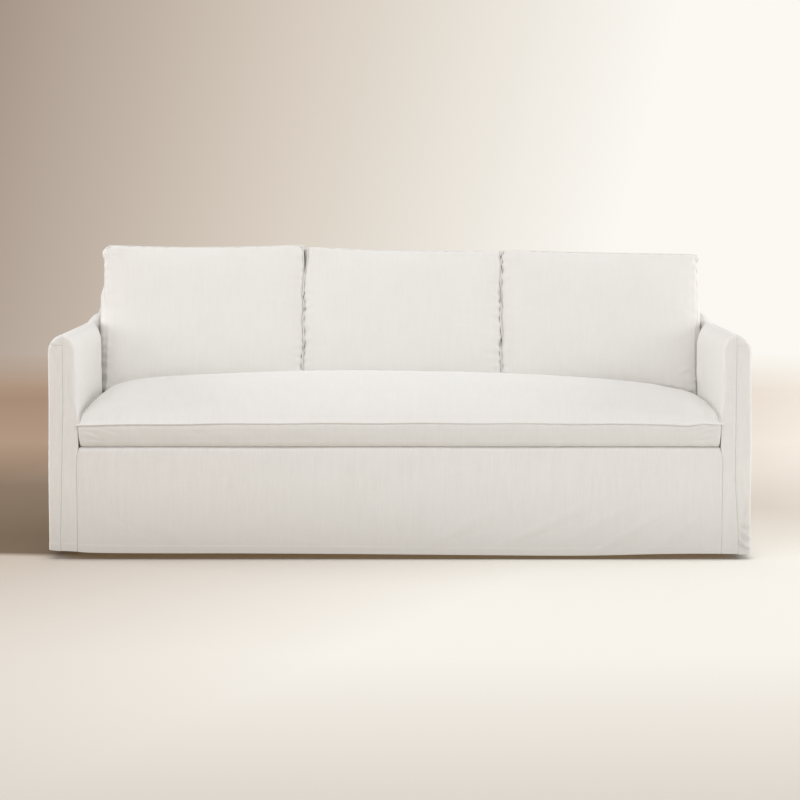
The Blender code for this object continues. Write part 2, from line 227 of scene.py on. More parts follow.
# %% Surfaces of an arm
def arm_point(section, q, p, radius, rear):
    """Point and normal: p from 0 to 1 on the front, to 2 round its edge, to 3 back to the rear."""
    if p > 2:
        end = BACK_TOP_Y
        for _ in range(3):  # the ridge's height and the raked end settle together
            end = rear(section(q, end)[1])
        y = mix(FRONT + radius, end, p - 2)
        x, z, nx, nz = section(q, y)
        return (x, y, z), (nx, 0.0, nz)
    x, z, nx, nz = section(q, FRONT + radius)
    if p <= 1:
        return (mix(RIDGE, x - nx * radius, p), FRONT, z - nz * radius), (0.0, -1.0, 0.0)
    angle = (2 - p) * pi / 2
    back = radius * (1 - cos(angle))
    point = (x - nx * back, FRONT + radius * (1 - sin(angle)), z - nz * back)
    return point, (nx * cos(angle), -sin(angle), nz * cos(angle))


def outer_arm(q, p):
    radius = mix(EDGE_OUT, EDGE_TOP, ease(q - 1))
    (x, y, z), normal = arm_point(
        outer_section, q, p, radius, lambda z: back_face(z) - SHEET - SEAM
    )
    return (max(x, RIDGE + SEAM / 2), y, z), normal


def inner_arm(q, p):
    above = q * (ARM_TOP - INNER_ROUND - DECK + SHEET)  # height over the deck
    # the edge is sharp at the deck, where the apron meets it, and grows round above the seat
    grown = 0.15 * ease(above / 0.030) + 0.85 * ease((above - 0.080) / 0.085)
    radius = mix(EDGE_IN * grown, EDGE_TOP, ease(q - 1))
    (x, y, z), normal = arm_point(
        inner_section, q, p, radius, lambda z: rest_face(z - SHEET) - SEAM
    )
    return (min(x, RIDGE - SEAM / 2), y, z), normal


print("arm at its front:", [round(c, 3) for c in outer_arm(2, 2)[0]])

# %% How the cloth hangs on the arms
SIDE_OUT, SIDE_LONG = 0.006, 0.035  # the seam beside the apron steps out below the deck
HEM_REACH = 0.25  # up to this height the cloth follows its own side's hem
FLARE_FOOT, EDGE_REACH = 0.06, 0.30
FLARE = {
    # how far the ridge seam hangs out at the hem and from which height, then the outer edge's
    -1: (0.0125, 0.470, 0.0045, 0.520),
    1: (0.0125, 0.240, 0.0055, 0.620),
}
FLARE_DEEP = 0.45  # how far back from the front it dies out


def side_seam(z):
    """Half the apron's width, a little more below the deck."""
    return INNER + SIDE_OUT * ease((DECK - SHEET - z) / SIDE_LONG)


def hung(place, side):
    """The same surface, hanging as the cloth does on its own side of the cover."""
    ridge_out, ridge_from, edge_out, edge_from = FLARE[side]

    def lowered(u, v):
        (x, y, z), normal = place(u, v)
        if side < 0:
            z += (hem(-x) - hem(x)) * max(1 - z / HEM_REACH, 0.0)
        above = (z - FLARE_FOOT) / (ridge_from - FLARE_FOOT)
        at_ridge = ridge_out * min(max(1 - above, 0.0), 1.0)
        at_edge = edge_out * ease((edge_from - z) / EDGE_REACH)
        across = np.interp(x, (INNER + SIDE_OUT, RIDGE, HALF_WIDTH), (0.0, at_ridge, at_edge))
        x += float(across) * (1 - ease((y - FRONT - 0.01) / FLARE_DEEP))
        return (x, y, z), normal

    return lowered


def arm_foot(u, share):
    """The inner panel's strip beside the apron, from the hem up to the deck."""
    low = hem(mix(RIDGE, INNER, u))
    z = mix(low, DECK - SHEET, share)
    x = min(mix(RIDGE, side_seam(z), u), RIDGE - SEAM / 2)
    return (x, FRONT, z), (0.0, -1.0, 0.0)


print("strip beside the apron, at the hem:", [round(c, 3) for c in arm_foot(1, 0)[0]])

# %% [markdown]
# ## Shader maths
#
# A small class wraps a socket, so that a mask or a pattern can be written as a plain expression.
# Each operator adds one Math node. A second class holds one material and makes any other node.
# The same could be wired by hand in the editor, but an expression shows at a glance what a
# pattern does.


# %% The wrapped socket
class Value:
    def __init__(self, tree, socket):
        self.tree, self.socket = tree, socket

    def maths(self, operation, first, second=None, third=None):
        node = self.tree.nodes.new("ShaderNodeMath")
        node.operation = operation
        for at, given in enumerate((first, second, third)):
            if isinstance(given, Value):
                self.tree.links.new(given.socket, node.inputs[at])
            elif given is not None:
                node.inputs[at].default_value = given
        return Value(self.tree, node.outputs[0])

    def __add__(self, other):
        return self.maths("ADD", self, other)

    def __radd__(self, other):
        return self.maths("ADD", other, self)

    def __sub__(self, other):
        return self.maths("SUBTRACT", self, other)

    def __rsub__(self, other):
        return self.maths("SUBTRACT", other, self)

    def __mul__(self, other):
        return self.maths("MULTIPLY", self, other)

    def __rmul__(self, other):
        return self.maths("MULTIPLY", other, self)

    def __pow__(self, other):
        return self.maths("POWER", self, other)

    def sine(self):
        return self.maths("SINE", self)

    def between(self, low, high):
        """0 at low, 1 at high, and clamped outside."""
        node = self.maths("MULTIPLY_ADD", self, 1 / (high - low), -low / (high - low))
        node.socket.node.use_clamp = True
        return node


class Finish:
    """A material, with one method for any node."""

    def __init__(self, name):
        self.material = bpy.data.materials.new(name)
        self.material.use_nodes = True
        self.tree = self.material.node_tree
        self.shader = self.tree.nodes["Principled BSDF"]

    def node(self, kind, settings=None, output=0, **sockets):
        made = self.tree.nodes.new("ShaderNode" + kind)
        for key, given in (settings or {}).items():
            setattr(made, key, given)
        for key, given in sockets.items():
            socket = made.inputs[int(key[1:]) if key[1:].isdigit() else key.replace("_", " ")]
            if isinstance(given, Value):
                self.tree.links.new(given.socket, socket)
            else:
                socket.default_value = given
        return Value(self.tree, made.outputs[output])

    def set(self, **sockets):
        for key, given in sockets.items():
            socket = self.shader.inputs[key.replace("_", " ")]
            if isinstance(given, Value):
                self.tree.links.new(given.socket, socket)
            else:
                socket.default_value = given

    def blend(self, factor, first, second):
        """The first colour where the factor is 0, the second where it is 1."""
        ends = [end if isinstance(end, Value) else (*end, 1.0) for end in (first, second)]
        return self.node("Mix", {"data_type": "RGBA"}, 2, _0=factor, _6=ends[0], _7=ends[1])


print("shader helpers ready")

# %% [markdown]
# ## Linen
#
# Heavy washed linen is a plain weave of uneven yarns. Close up there are warp and weft threads, a
# step away only the slubs show: thick places in the yarn, long and thin, mostly upright, that catch a
# little more light. A photographed weave would repeat and would need a file. Stretched noise does
# neither. The pattern is laid out in metres on each panel's own cut, in a UV map, so it runs with the
# grain of the cloth and turns with it over a rounded arm. Towards the hem the colour is painted
# darker: a painted shade for the dimmer light where the cloth hangs close to the floor.


# %% Linen material
YARN_DARK, YARN_LIGHT = (0.766, 0.748, 0.721), (0.836, 0.823, 0.798)
# the second colour is the painted shade used towards the hem
WASHED, HEM_SHADE = (0.834, 0.820, 0.795), (0.655, 0.636, 0.612)
WARP_PITCH, WEFT_PITCH = 0.0011, 0.0012


def linen(name, tone=1.0, streaky=1.0):
    """The cloth, painted lighter or darker by its tone for the light on each part, and with stronger
    or weaker slubs.
    """
    finish = Finish(name)
    cut = finish.node("UVMap", {"uv_map": "cut"})
    split = finish.node("SeparateXYZ", Vector=cut).socket.node
    across, up = (Value(finish.tree, split.outputs[axis]) for axis in "XY")
    spot = finish.node("SeparateXYZ", Vector=finish.node("TexCoord", output="Object"))
    height = Value(finish.tree, spot.socket.node.outputs["Z"])

    def toned(colour):
        return tuple(part * tone for part in colour)

    def streaks(wide, tall, detail):
        where = finish.node("Mapping", Vector=cut, Scale=(1 / wide, 1 / tall, 1.0))
        flat = {"noise_dimensions": "2D"}
        return finish.node("TexNoise", flat, Vector=where, Scale=1.0, Detail=detail, Roughness=0.6)

    upright = streaks(0.0038, 0.060, 2.0)
    broad = streaks(0.0130, 0.170, 2.0)
    level = streaks(0.060, 0.0034, 2.0)
    patch = streaks(0.090, 0.130, 3.0)
    yarn_up = (across * (2 * pi / WARP_PITCH)).sine()
    yarn_level = (up * (2 * pi / WEFT_PITCH)).sine()
    weave = yarn_up * yarn_level
    slub = upright * 0.48 + broad * 0.34 + level * 0.18
    bright = ((slub - 0.5) * streaky + 0.5).between(0.32, 0.70)
    worn = patch.between(0.30, 0.70)
    colour = finish.blend(bright, toned(YARN_DARK), toned(YARN_LIGHT))
    colour = finish.blend(worn * 0.35, colour, toned(WASHED))
    # painted shade: below 0.24 m the colour is blended towards a darker one, most at the hem, for the
    # dimmer light close to the floor
    colour = finish.blend(height.between(0.24, -0.04) ** 1.4, colour, toned(HEM_SHADE))
    relief = slub * 0.8 + weave * 0.16 + patch * 0.5
    bump = finish.node("Bump", Strength=0.42 * streaky, Distance=0.0011, Height=relief)
    finish.set(
        Base_Color=colour,
        Roughness=0.86 + slub * 0.08,
        Normal=bump,
        Sheen_Weight=0.45,
        Sheen_Roughness=0.45,
        Specular_IOR_Level=0.22,
    )
    return finish.material


# painted light and shade: it is all one cloth; the cushions' copy is painted a little lighter and the
# shell's a little darker, for the light that each gets
LINEN = linen("linen", tone=1.05, streaky=0.5)
SHELL_LINEN = linen("shell_linen", tone=1.025, streaky=0.85)
print("linen:", len(LINEN.node_tree.nodes), "nodes")

# %% [markdown]
# ## How a panel is made
#
# A panel is a grid whose points are put on the surface under the cloth and then pushed a little
# outwards or inwards: a rolled edge where it is sewn, a band over the folded seam allowance, a turned
# hem, and creases given in tables. Its rows stand close together beside a seam, where the shape
# changes quickly. The grid also gives the flat cut: distances along it are the UV map.
# Cloth that was dropped on a frame by a simulation would drape by itself, but a fitted cover is
# sewn to shape and hardly drapes, and its seams would wander off their lines.

# %% Rows of a panel
# distances from an edge, in metres, at which the first rows stand
SEWN = (0.0, 0.0008, 0.0018, 0.0030, 0.0045, 0.0070, 0.0100, 0.0135)
HEMMED = (0.0, 0.0010, 0.0030, 0.0100, 0.0180, 0.0225, 0.0240, 0.0250, 0.0260, 0.0275, 0.0320)
PLAIN = (0.0,)


def rows(long, step, start=SEWN, end=SEWN):
    """Stations over a length in metres, close together at a sewn or hemmed end."""
    last = [long - at for at in reversed(end)]
    count = max(ceil((last[0] - start[-1]) / step), 1)
    between = [mix(start[-1], last[0], i / count) for i in range(1, count)]
    return list(start) + between + last


print("rows over 0.3 m:", len(rows(0.3, 0.01)))


# %% Rolled edges, creases and slack
def bell(x):
    return np.exp(-x * x)


def from_ends(along):
    """Distance to the nearer of the first and the last row."""
    return np.minimum(along, along[-1:] - along)


def from_sides(along):
    """Distance to the nearer of the two long sides."""
    return np.minimum(along, along[:, -1:] - along)


def rolled(away, pressed=1.0):
    """Cloth drawn into a seam, then lifted by the allowance pressed under it."""
    drawn = -0.0007 * np.clip(1 - away / 0.0030, 0, 1) ** 2
    lifted = 0.0006 * pressed * soft((away - 0.002) / 0.003) * (1 - soft((away - 0.010) / 0.004))
    return drawn + lifted


def turned_hem(up):
    """Two more layers up to the stitching, and the stitching's dent."""
    return 0.0006 * (1 - soft((up - 0.0245) / 0.003)) - 0.0005 * bell((up - 0.0250) / 0.0014)


def creased(a, b, table):
    """Soft troughs, each with a low ridge on one side, from straight runs in a table."""
    out = np.zeros_like(a)
    for a0, b0, a1, b1, half, depth in table:
        da, db = a1 - a0, b1 - b0
        long = sqrt(da * da + db * db)
        along = ((a - a0) * da + (b - b0) * db) / long**2
        across = ((a - a0) * db - (b - b0) * da) / long / half
        bend = across + 0.5 * np.sin(along * 5.0 + a0 * 40)
        fade = np.sin(pi * np.clip(along, 0, 1)) ** 0.7
        out += depth * fade * (0.7 * bell(bend - 1.3) - bell(bend))
    return out


def puckered(along, away, pitch, reach, depth, start=0.0):
    """Uneven gathers that run out from a seam."""
    beat = np.sin(2 * pi * along / pitch + 1.7 * np.sin(along * 31 + start) + start)
    swell = 0.55 + 0.45 * np.sin(along * 13.7 + start * 2.3)
    return depth * beat * swell * bell(away / reach)


def slack(a, b, depth, start=0.0):
    """The slow unevenness of cloth that is a little too large for what it covers."""
    slow = np.sin(a * 9.1 + 2.1 * np.sin(b * 5.3 + start) + start)
    slower = np.sin(b * 11.7 + 1.6 * np.sin(a * 4.1 - start))
    return depth * (0.6 * slow + 0.4 * slower * np.sin(a * 3.3 + start))


print("a seam is drawn in by", round(float(-rolled(0.0)) * 1000, 2), "mm")


# %% One panel from its grids
CLOTH_THICK, SAME_POINT = 0.0016, 0.00002


def panel(name, patches, side=1):
    """Patches are (us, vs, place, relief, cut offset, which of the two runs with the grain)."""
    mesh = bmesh.new()
    outward = mesh.verts.layers.float_vector.new("outward")
    cut = mesh.verts.layers.float_vector.new("cut")
    for us, vs, place, relief, offset, grain in patches:
        found = [[place(u, v) for v in vs] for u in us]
        points = np.array([[p for p, n in line] for line in found])
        normals = np.array([[n for p, n in line] for line in found])
        s = np.zeros(points.shape[:2])
        t = np.zeros(points.shape[:2])
        s[1:] = np.cumsum(np.linalg.norm(np.diff(points, axis=0), axis=2), axis=0)
        t[:, 1:] = np.cumsum(np.linalg.norm(np.diff(points, axis=1), axis=2), axis=1)
        moved = points + normals * relief(s, t, points)[..., None]
        made = bmesh.ops.create_grid(
            mesh, x_segments=len(us) - 1, y_segments=len(vs) - 1, size=1.0
        )["verts"]
        for vert in made:
            i = round((vert.co.x + 1) / 2 * (len(us) - 1))
            j = round((vert.co.y + 1) / 2 * (len(vs) - 1))
            vert.co = moved[i, j]
            vert[outward] = normals[i, j]
            laid_flat = (s[i, j], t[i, j]) if grain else (t[i, j], s[i, j])
            vert[cut] = (laid_flat[0] + offset[0], laid_flat[1] + offset[1], 0.0)
    bmesh.ops.remove_doubles(mesh, verts=mesh.verts, dist=SAME_POINT)
    bmesh.ops.scale(mesh, vec=(side, 1, 1), verts=mesh.verts)
    mesh.normal_update()
    turned = []
    for face in mesh.faces:
        out = sum((v[outward] for v in face.verts), Vector())
        out.x *= side
        if face.normal.dot(out) < 0:
            turned.append(face)
    bmesh.ops.reverse_faces(mesh, faces=turned)
    laid = mesh.loops.layers.uv.new("cut")
    for face in mesh.faces:
        face.smooth = True
        for loop in face.loops:
            loop[laid].uv = loop.vert[cut][:2]
    data = bpy.data.meshes.new(name)
    mesh.to_mesh(data)
    mesh.free()
    made = placed(name, data)
    data.materials.append(SHELL_LINEN)
    wall = made.modifiers.new("thickness", "SOLIDIFY")
    wall.thickness = CLOTH_THICK
    wall.offset = -1.0
    wall.use_even_offset = False
    return made


print("cloth", CLOTH_THICK * 1000, "mm thick with its allowances")


def sew_in(made, node):
    """Attaches a finished panel to the root body and hides the part that it stands for."""
    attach(made, "root")
    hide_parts(node)
    return made


# %% [markdown]
# ## The apron
#
# The long front panel hangs from the deck to the floor. It is a little too full, so a few soft folds
# slant up from the hem, mostly to the right, and the cloth stands out in the middle. The bottom is a
# turned hem with a line of stitching. The folds are listed in a table, because each one is different
# and its place matters.

# %% Folds and creases of the apron
APRON_FULL = 0.004  # how far its middle stands out
FOLDS = (
    # foot x, slant (dx per dz), from z, to z, half width, depth
    (0.050, 1.60, 0.020, 0.150, 0.026, 0.0022),
    (0.260, 1.90, 0.010, 0.170, 0.024, 0.0030),
    (0.430, 1.70, 0.030, 0.190, 0.022, 0.0026),
    (0.590, 1.50, 0.005, 0.150, 0.020, 0.0034),
    (0.760, 1.20, 0.010, 0.140, 0.018, 0.0028),
    (-0.620, -1.20, 0.020, 0.120, 0.030, 0.0015),
)
APRON_CREASES = (
    # x, z, x, z, half width, depth
    (0.100, 0.040, 0.330, 0.090, 0.0060, 0.0012),
    (0.300, 0.020, 0.470, 0.075, 0.0050, 0.0016),
    (0.420, 0.060, 0.640, 0.150, 0.0060, 0.0014),
    (0.560, 0.010, 0.700, 0.080, 0.0050, 0.0018),
    (0.660, 0.030, 0.860, 0.150, 0.0060, 0.0016),
    (0.800, 0.015, 0.930, 0.120, 0.0050, 0.0012),
    (-0.900, 0.130, -0.700, 0.030, 0.0070, 0.0008),
    (-0.400, 0.080, -0.150, 0.030, 0.0080, 0.0007),
)
print("folds:", len(FOLDS), "creases:", len(APRON_CREASES))


# %% Front apron
def apron_slack(x, z):
    """How far the cloth stands out from the flat front."""
    up = min(max(z / (DECK - APRON_EDGE), 0.0), 1.0)
    out = APRON_FULL * (1 - (x / INNER) ** 4) * (1 - (2 * up - 1) ** 4)
    for foot, slant, low, high, half, depth in FOLDS:
        along = (z - low) / (high - low)
        if 0 < along < 1:
            off = (x - foot - slant * z) / half
            out += depth * sin(pi * along) * (1 / (1 + off**4))
    return out * min(1, (INNER - abs(x)) / 0.05)


def apron_place(x, t):
    if t <= 1:
        z = mix(hem(x), DECK - APRON_EDGE, t)
        wide = x * side_seam(z) / INNER
        return (wide, FRONT - apron_slack(x, z), z), (0.0, -1.0, 0.0)
    angle = (t - 1) * pi / 2
    y = FRONT + APRON_EDGE * (1 - cos(angle))
    return (x, y, DECK - APRON_EDGE * (1 - sin(angle))), (0.0, -cos(angle), sin(angle))


def apron_relief(s, t, at):
    x, z = at[..., 0], at[..., 2]
    out = rolled(from_ends(s)) + turned_hem(t) + creased(x, z, APRON_CREASES)
    out += 0.0005 * np.sin(x * 57 + 3 * np.sin(x * 11)) * soft(z / 0.1) * soft((DECK - z) / 0.06)
    return out + slack(x, z, 0.0006)


across = rows(2 * (INNER - SEAM), 0.0085)
tall = rows(DECK - APRON_EDGE, 0.0085, HEMMED, PLAIN)
ups = [at / (DECK - APRON_EDGE) for at in tall] + [1 + i / 5 for i in range(1, 6)]
apron = panel(
    "front_apron_cloth",
    [([a - INNER + SEAM for a in across], ups, apron_place, apron_relief, (0, 0), 1)],
)
sew_in(apron, "front_apron")

# %% [markdown]
# ## The arms
#
# Each arm takes four panels. The facing and the inner panel meet in a seam up the middle of the
# arm's narrow front, which goes on over the ridge to the back. A strip over the top meets the
# facing and the outer panel in a level seam, and it puckers a little where it turns the front
# edge. Distances along each panel are turned into q and p by the lengths of its runs. One
# function makes all four panels of an arm, and the left arm is its mirror image with creases and
# a slack of its own, since no two arms of a real cover hang alike.

# %% Lengths and creases of the arms
FOLD = 1.315  # q of the seam under the top strip
OUT_UP = (0.619, 0.697)  # cloth lengths at q 1 and q 2 on the outer half
OUT_LONG = (0.0355, 0.0481, 1.006)  # and at p 1, 2 and 3
IN_UP = (0.280, 0.370)  # the same on the inner half
IN_LONG = (0.0285, 0.0536, 0.884)
FOOT_CUT = (0, -0.31)  # where the strip beside the apron lies on the flat cut
PADDING_FULL = 0.008

STRIP_CREASES = {
    # x, z, x, z, half width, depth, on the arm's front
    "left": (
        (1.058, 0.650, 1.030, 0.628, 0.0035, 0.0012),
        (1.050, 0.610, 1.030, 0.632, 0.0030, 0.0010),
    ),
    "right": (
        (1.060, 0.640, 1.028, 0.622, 0.0040, 0.0016),
        (1.056, 0.605, 1.032, 0.640, 0.0032, 0.0012),
        (1.048, 0.590, 1.040, 0.560, 0.0030, 0.0009),
        (1.066, 0.012, 1.030, 0.046, 0.0060, 0.0068),
        (1.068, 0.040, 1.036, 0.072, 0.0055, 0.0062),
        (1.066, 0.078, 1.040, 0.100, 0.0055, 0.0055),
        (1.030, 0.030, 0.990, 0.036, 0.0045, 0.0030),
        (1.060, 0.165, 1.044, 0.112, 0.0050, 0.0040),
    ),
}
INNER_CREASES = {
    # y, z, y, z, half width, depth, on the arm's inner side
    "left": (
        (-0.380, 0.470, -0.180, 0.600, 0.0110, 0.0012),
        (0.020, 0.430, 0.110, 0.560, 0.0080, 0.0016),
        (0.060, 0.600, 0.280, 0.648, 0.0070, 0.0014),
    ),
    "right": (
        (-0.440, 0.420, -0.330, 0.500, 0.0090, 0.0016),
        (-0.300, 0.440, -0.100, 0.560, 0.0120, 0.0012),
        (0.030, 0.440, 0.110, 0.600, 0.0080, 0.0016),
        (0.100, 0.610, 0.300, 0.652, 0.0070, 0.0014),
    ),
}


def metres(stations, knots):
    """Cloth distances turned into q or p."""
    return list(np.interp(stations, (0.0,) + tuple(knots), range(len(knots) + 1)))


print("cloth from the hem to the ridge:", OUT_UP[1], "m outside")


# %% Arm panels
ARM_PHASE = {"left": 1.3, "right": 4.1}  # where the waves of the slack start


def arm_panels(side, name):
    phase = ARM_PHASE[name]
    fold_up = np.interp(FOLD, (0, 1, 2), (0.0,) + OUT_UP)
    to_edge, past_edge, to_rear = OUT_LONG

    def over_outer_half(us, vs, relief):
        return metres(us, OUT_UP), metres(vs, OUT_LONG), hung(outer_arm, side), relief, (0, 0), 0

    def sewn(kind, patches):
        made = panel(f"arm_{kind}_cloth_{name}", patches, side)
        sew_in(made, f"arm_{kind}_{name}")

    def facing_relief(s, t, at):
        gap, top = from_sides(t), s[-1:] - s
        out = rolled(gap, 0.9) + rolled(top, 0.6) + turned_hem(s)
        out += creased(at[..., 0], at[..., 2], STRIP_CREASES[name])
        out += puckered(at[..., 0], top, 0.011, 0.016, 0.0007, phase)
        return out + puckered(at[..., 2], gap, 0.034, 0.012, 0.0004, phase)

    def outer_relief(s, t, at):
        out = rolled(from_sides(t), 0.8) + rolled(s[-1:] - s, 0.8) + turned_hem(s)
        return out + slack(at[..., 1], at[..., 2], 0.0016, phase)

    def strip_relief(s, t, at):
        out = rolled(from_ends(s), 0.9) + rolled(t[:, -1:] - t, 0.5)
        on_front = bell((at[..., 1] - FRONT) / 0.012)
        out += creased(at[..., 0], at[..., 2], STRIP_CREASES[name]) * on_front
        return out + puckered(t, s, 0.012, 0.018, 0.0006, phase) * bell(t / 0.09)

    up = rows(fold_up - 0.0001, 0.0095, HEMMED, SEWN)
    round_edge = rows(past_edge, 0.0045)
    facing = over_outer_half(up, round_edge, facing_relief)
    sewn("facing", [facing])

    long = [past_edge + at for at in rows(to_rear - past_edge, 0.013)]
    sewn("outer", [over_outer_half(up, long, outer_relief)])

    over = [fold_up + at for at in rows(OUT_UP[1] - fold_up, 0.006)]
    whole = rows(to_edge, 0.0045, SEWN, PLAIN)
    whole += [mix(to_edge, past_edge, i / 6) for i in range(1, 7)]
    whole += [past_edge + at for at in rows(to_rear - past_edge, 0.010, (0.004,), SEWN)]
    sewn("top", [over_outer_half(over, whole, strip_relief)])

    def inner_relief(s, t, at):
        y, z = at[..., 1], at[..., 2]
        front = bell(np.maximum(y - FRONT - 0.02, 0) / 0.02)
        out = rolled(t, 0.9) + rolled(s[-1:] - s, 0.9) + rolled(t[:, -1:] - t, 0.5)
        out += creased(y, z, INNER_CREASES[name]) * (1 - front)
        out += slack(y, z, 0.0010, phase) * (1 - front)
        if side > 0:  # the padding of this arm is fuller in front of the back cushion
            high = soft((z - 0.45) / 0.06) * soft((0.65 - z) / 0.05)
            out += PADDING_FULL * bell((y - 0.045) / 0.045) * high
        return out + puckered(z, t, 0.030, 0.012, 0.0004, phase) * front

    def foot_relief(s, t, at):
        x, z = at[..., 0], at[..., 2]
        apron_side = (s[-1:] - s) + 0.02 * soft((z - DECK + 0.014) / 0.012)
        out = rolled(s, 0.9) + rolled(apron_side, 0.7) + turned_hem(t)
        return out + puckered(z, s, 0.030, 0.012, 0.0004, phase)

    to_edge, past_edge, to_rear = IN_LONG
    front = rows(to_edge, 0.004)
    whole = front + [mix(to_edge, past_edge, i / 8) for i in range(1, 9)]
    whole += [past_edge + at for at in rows(to_rear - past_edge, 0.0095, (0.005,), SEWN)]
    ups = rows(IN_UP[0], 0.0095, (0.0, 0.004), PLAIN)
    ups += [IN_UP[0] + at for at in rows(IN_UP[1] - IN_UP[0], 0.006, (0.004,), SEWN)]
    low = rows(DECK - SHEET - hem(RIDGE), 0.0095, HEMMED, PLAIN)
    low = [at / low[-1] for at in low]
    up_and_over = metres(ups, IN_UP), metres(whole, IN_LONG)
    upper = (*up_and_over, hung(inner_arm, side), inner_relief, (0, 0), 0)
    foot = ([at / to_edge for at in front], low, hung(arm_foot, side), foot_relief, FOOT_CUT, 1)
    sewn("inner", [upper, foot])


arm_panels(1, "right")
arm_panels(-1, "left")

# %% [markdown]
# ## The deck and the back
#
# The deck is the platform of cloth under the seat cushion. The back has a panel inside, one
# outside that falls to the floor, and a narrow band between them over the top and down to the
# arms. Most of the back is out of sight behind the cushions, but the outside is all to be seen
# when one walks round, so it gets creases and slack like the rest.


# %% Outline of the back
NECK_IN, NECK_FROM, NECK_LONG = 0.0105, 0.690, 0.040


def drawn_in(x, z):
    """The back is a little narrower above the arms."""
    return x * (1 - NECK_IN * ease((z - NECK_FROM) / NECK_LONG))


def neck(z):
    """Half the back's width between the arms and its round upper corner."""
    wide = RIDGE - SEAM / 2
    over = (z - (BACK_TOP - BACK_CORNER)) / BACK_CORNER
    return drawn_in(wide - BACK_CORNER * (1 - sqrt(max(0.0, 1 - max(over, 0.0) ** 2))), z)


print("the back is", round(2 * neck(BACK_TOP - BACK_CORNER), 3), "m wide above the arms")


# %% Surfaces and reliefs of the deck and the back
def deck_place(u, y):
    return (u * (arm_inside(y) - 0.0015), y, DECK), (0.0, 0.0, 1.0)


def deck_relief(s, t, at):
    return -0.0004 + 0.0003 * np.sin(at[..., 0] * 9) * np.sin(at[..., 1] * 14)


def rest_place(u, z):
    low = arm_inside(rest_face(z)) + SHEET
    half = min(mix(low, neck(z), ease((z - 0.614) / 0.06)), neck(z))
    bulge = 0.006 * (1 - u * u) * sin(pi * (z - DECK) / (BACK_TOP - DECK))
    return (u * half, rest_face(z) - max(bulge, 0.0), z), (0.0, -1.0, 0.0)


def rest_relief(s, t, at):
    seams = rolled(from_ends(s), 0.5) + rolled(t[:, -1:] - t, 0.7)
    return seams + 0.5 * slack(at[..., 0], at[..., 2], 0.001)


def outside_half(z):
    """Half the width of the outside back: the arm's section below, the neck above."""
    top = ridge_height(BACK_TOP_Y)
    knee = top - OUTER_ROUND
    if z <= knee:
        return HALF_WIDTH
    if z < top:
        share = sqrt(1 - ((z - knee) / OUTER_ROUND) ** 2)
        return RIDGE + (HALF_WIDTH - RIDGE) * share
    return neck(z)


def outside_place(u, z):
    bulge = 0.005 * (1 - u**4) * sin(pi * min(z / BACK_TOP, 1))
    x = u * outside_half(z)
    height = z + hem(x) * max(1 - z / 0.2, 0.0)
    return (x, back_face(height) + max(bulge, 0.0), height), (0.0, 1.0, 0.0)


OUTSIDE_CREASES = (
    # x, z, x, z, half width, depth
    (-0.900, 0.080, -0.620, 0.200, 0.0140, 0.0016),
    (-0.300, 0.060, -0.480, 0.230, 0.0160, 0.0014),
    (0.250, 0.090, 0.520, 0.160, 0.0140, 0.0016),
    (0.980, 0.560, 0.700, 0.470, 0.0150, 0.0018),
    (-0.980, 0.580, -0.760, 0.500, 0.0150, 0.0016),
    (0.600, 0.040, 0.820, 0.220, 0.0130, 0.0015),
)


def outside_relief(s, t, at):
    out = rolled(from_ends(s), 0.8) + rolled(t[:, -1:] - t, 0.8) + turned_hem(t)
    out += creased(at[..., 0], at[..., 2], OUTSIDE_CREASES)
    return out + slack(at[..., 0], at[..., 2], 0.0016, 2.0)


print("creases outside:", len(OUTSIDE_CREASES))

# %% Deck, inside back and outside back
deck_rear = rest_face(DECK - SHEET) - 2 * SEAM
deck_front = FRONT + APRON_EDGE + SEAM
deck_ys = [deck_front + at for at in rows(deck_rear - deck_front, 0.02, PLAIN, PLAIN)]
deck = panel(
    "deck_cloth",
    [([i / 48 - 1 for i in range(97)], deck_ys, deck_place, deck_relief, (0, 0), 1)],
)
sew_in(deck, "deck")

wide = [at - 1 for at in rows(2.0, 0.014)]
ups = [DECK - SHEET + at for at in rows(BACK_TOP - DECK + SHEET, 0.012, PLAIN, SEWN)]
inside = panel("inside_back_cloth", [(wide, ups, rest_place, rest_relief, (0, 0), 1)])
sew_in(inside, "inside_back")

ups = rows(BACK_TOP, 0.010, HEMMED, SEWN)
outside = panel("outside_back_cloth", [(wide, ups, outside_place, outside_relief, (0, 0), 1)])
sew_in(outside, "outside_back")


# %% The band over the back's top
BAND_DEEP = 0.082  # cloth from seam to seam, for the spacing of its rows


def boxing_path(at):
    """x, z and turn along the band, from the right arm over the top to the left arm."""
    wide = RIDGE - SEAM / 2
    low = ridge_height(BACK_TOP_Y) - SHEET
    rise = BACK_TOP - BACK_CORNER - low
    arc = BACK_CORNER * pi / 2
    flat = 2 * (wide - BACK_CORNER)
    whole = 2 * (rise + arc) + flat
    mirror = at > whole / 2
    d = whole - at if mirror else at
    if d < rise:
        x, z, turn = wide, low + d, 0.0
    elif d < rise + arc:
        turn = (d - rise) / BACK_CORNER
        x = wide - BACK_CORNER * (1 - cos(turn))
        z = BACK_TOP - BACK_CORNER * (1 - sin(turn))
    else:
        x, z, turn = wide - BACK_CORNER - (d - rise - arc), BACK_TOP, pi / 2
    x = drawn_in(x, z)
    return (-x, z, pi - turn) if mirror else (x, z, turn)


def boxing_place(at, t):
    x, z, turn = boxing_path(at)
    front, rear = rest_face(z) + SHEET + SEAM, back_face(z) - SHEET - SEAM
    return (x, mix(front, rear, t), z), (cos(turn), 0.0, sin(turn))


def boxing_relief(s, t, at):
    gap = from_sides(t)
    return rolled(gap, 0.8) + puckered(s, gap, 0.04, 0.012, 0.0005, 1.0)


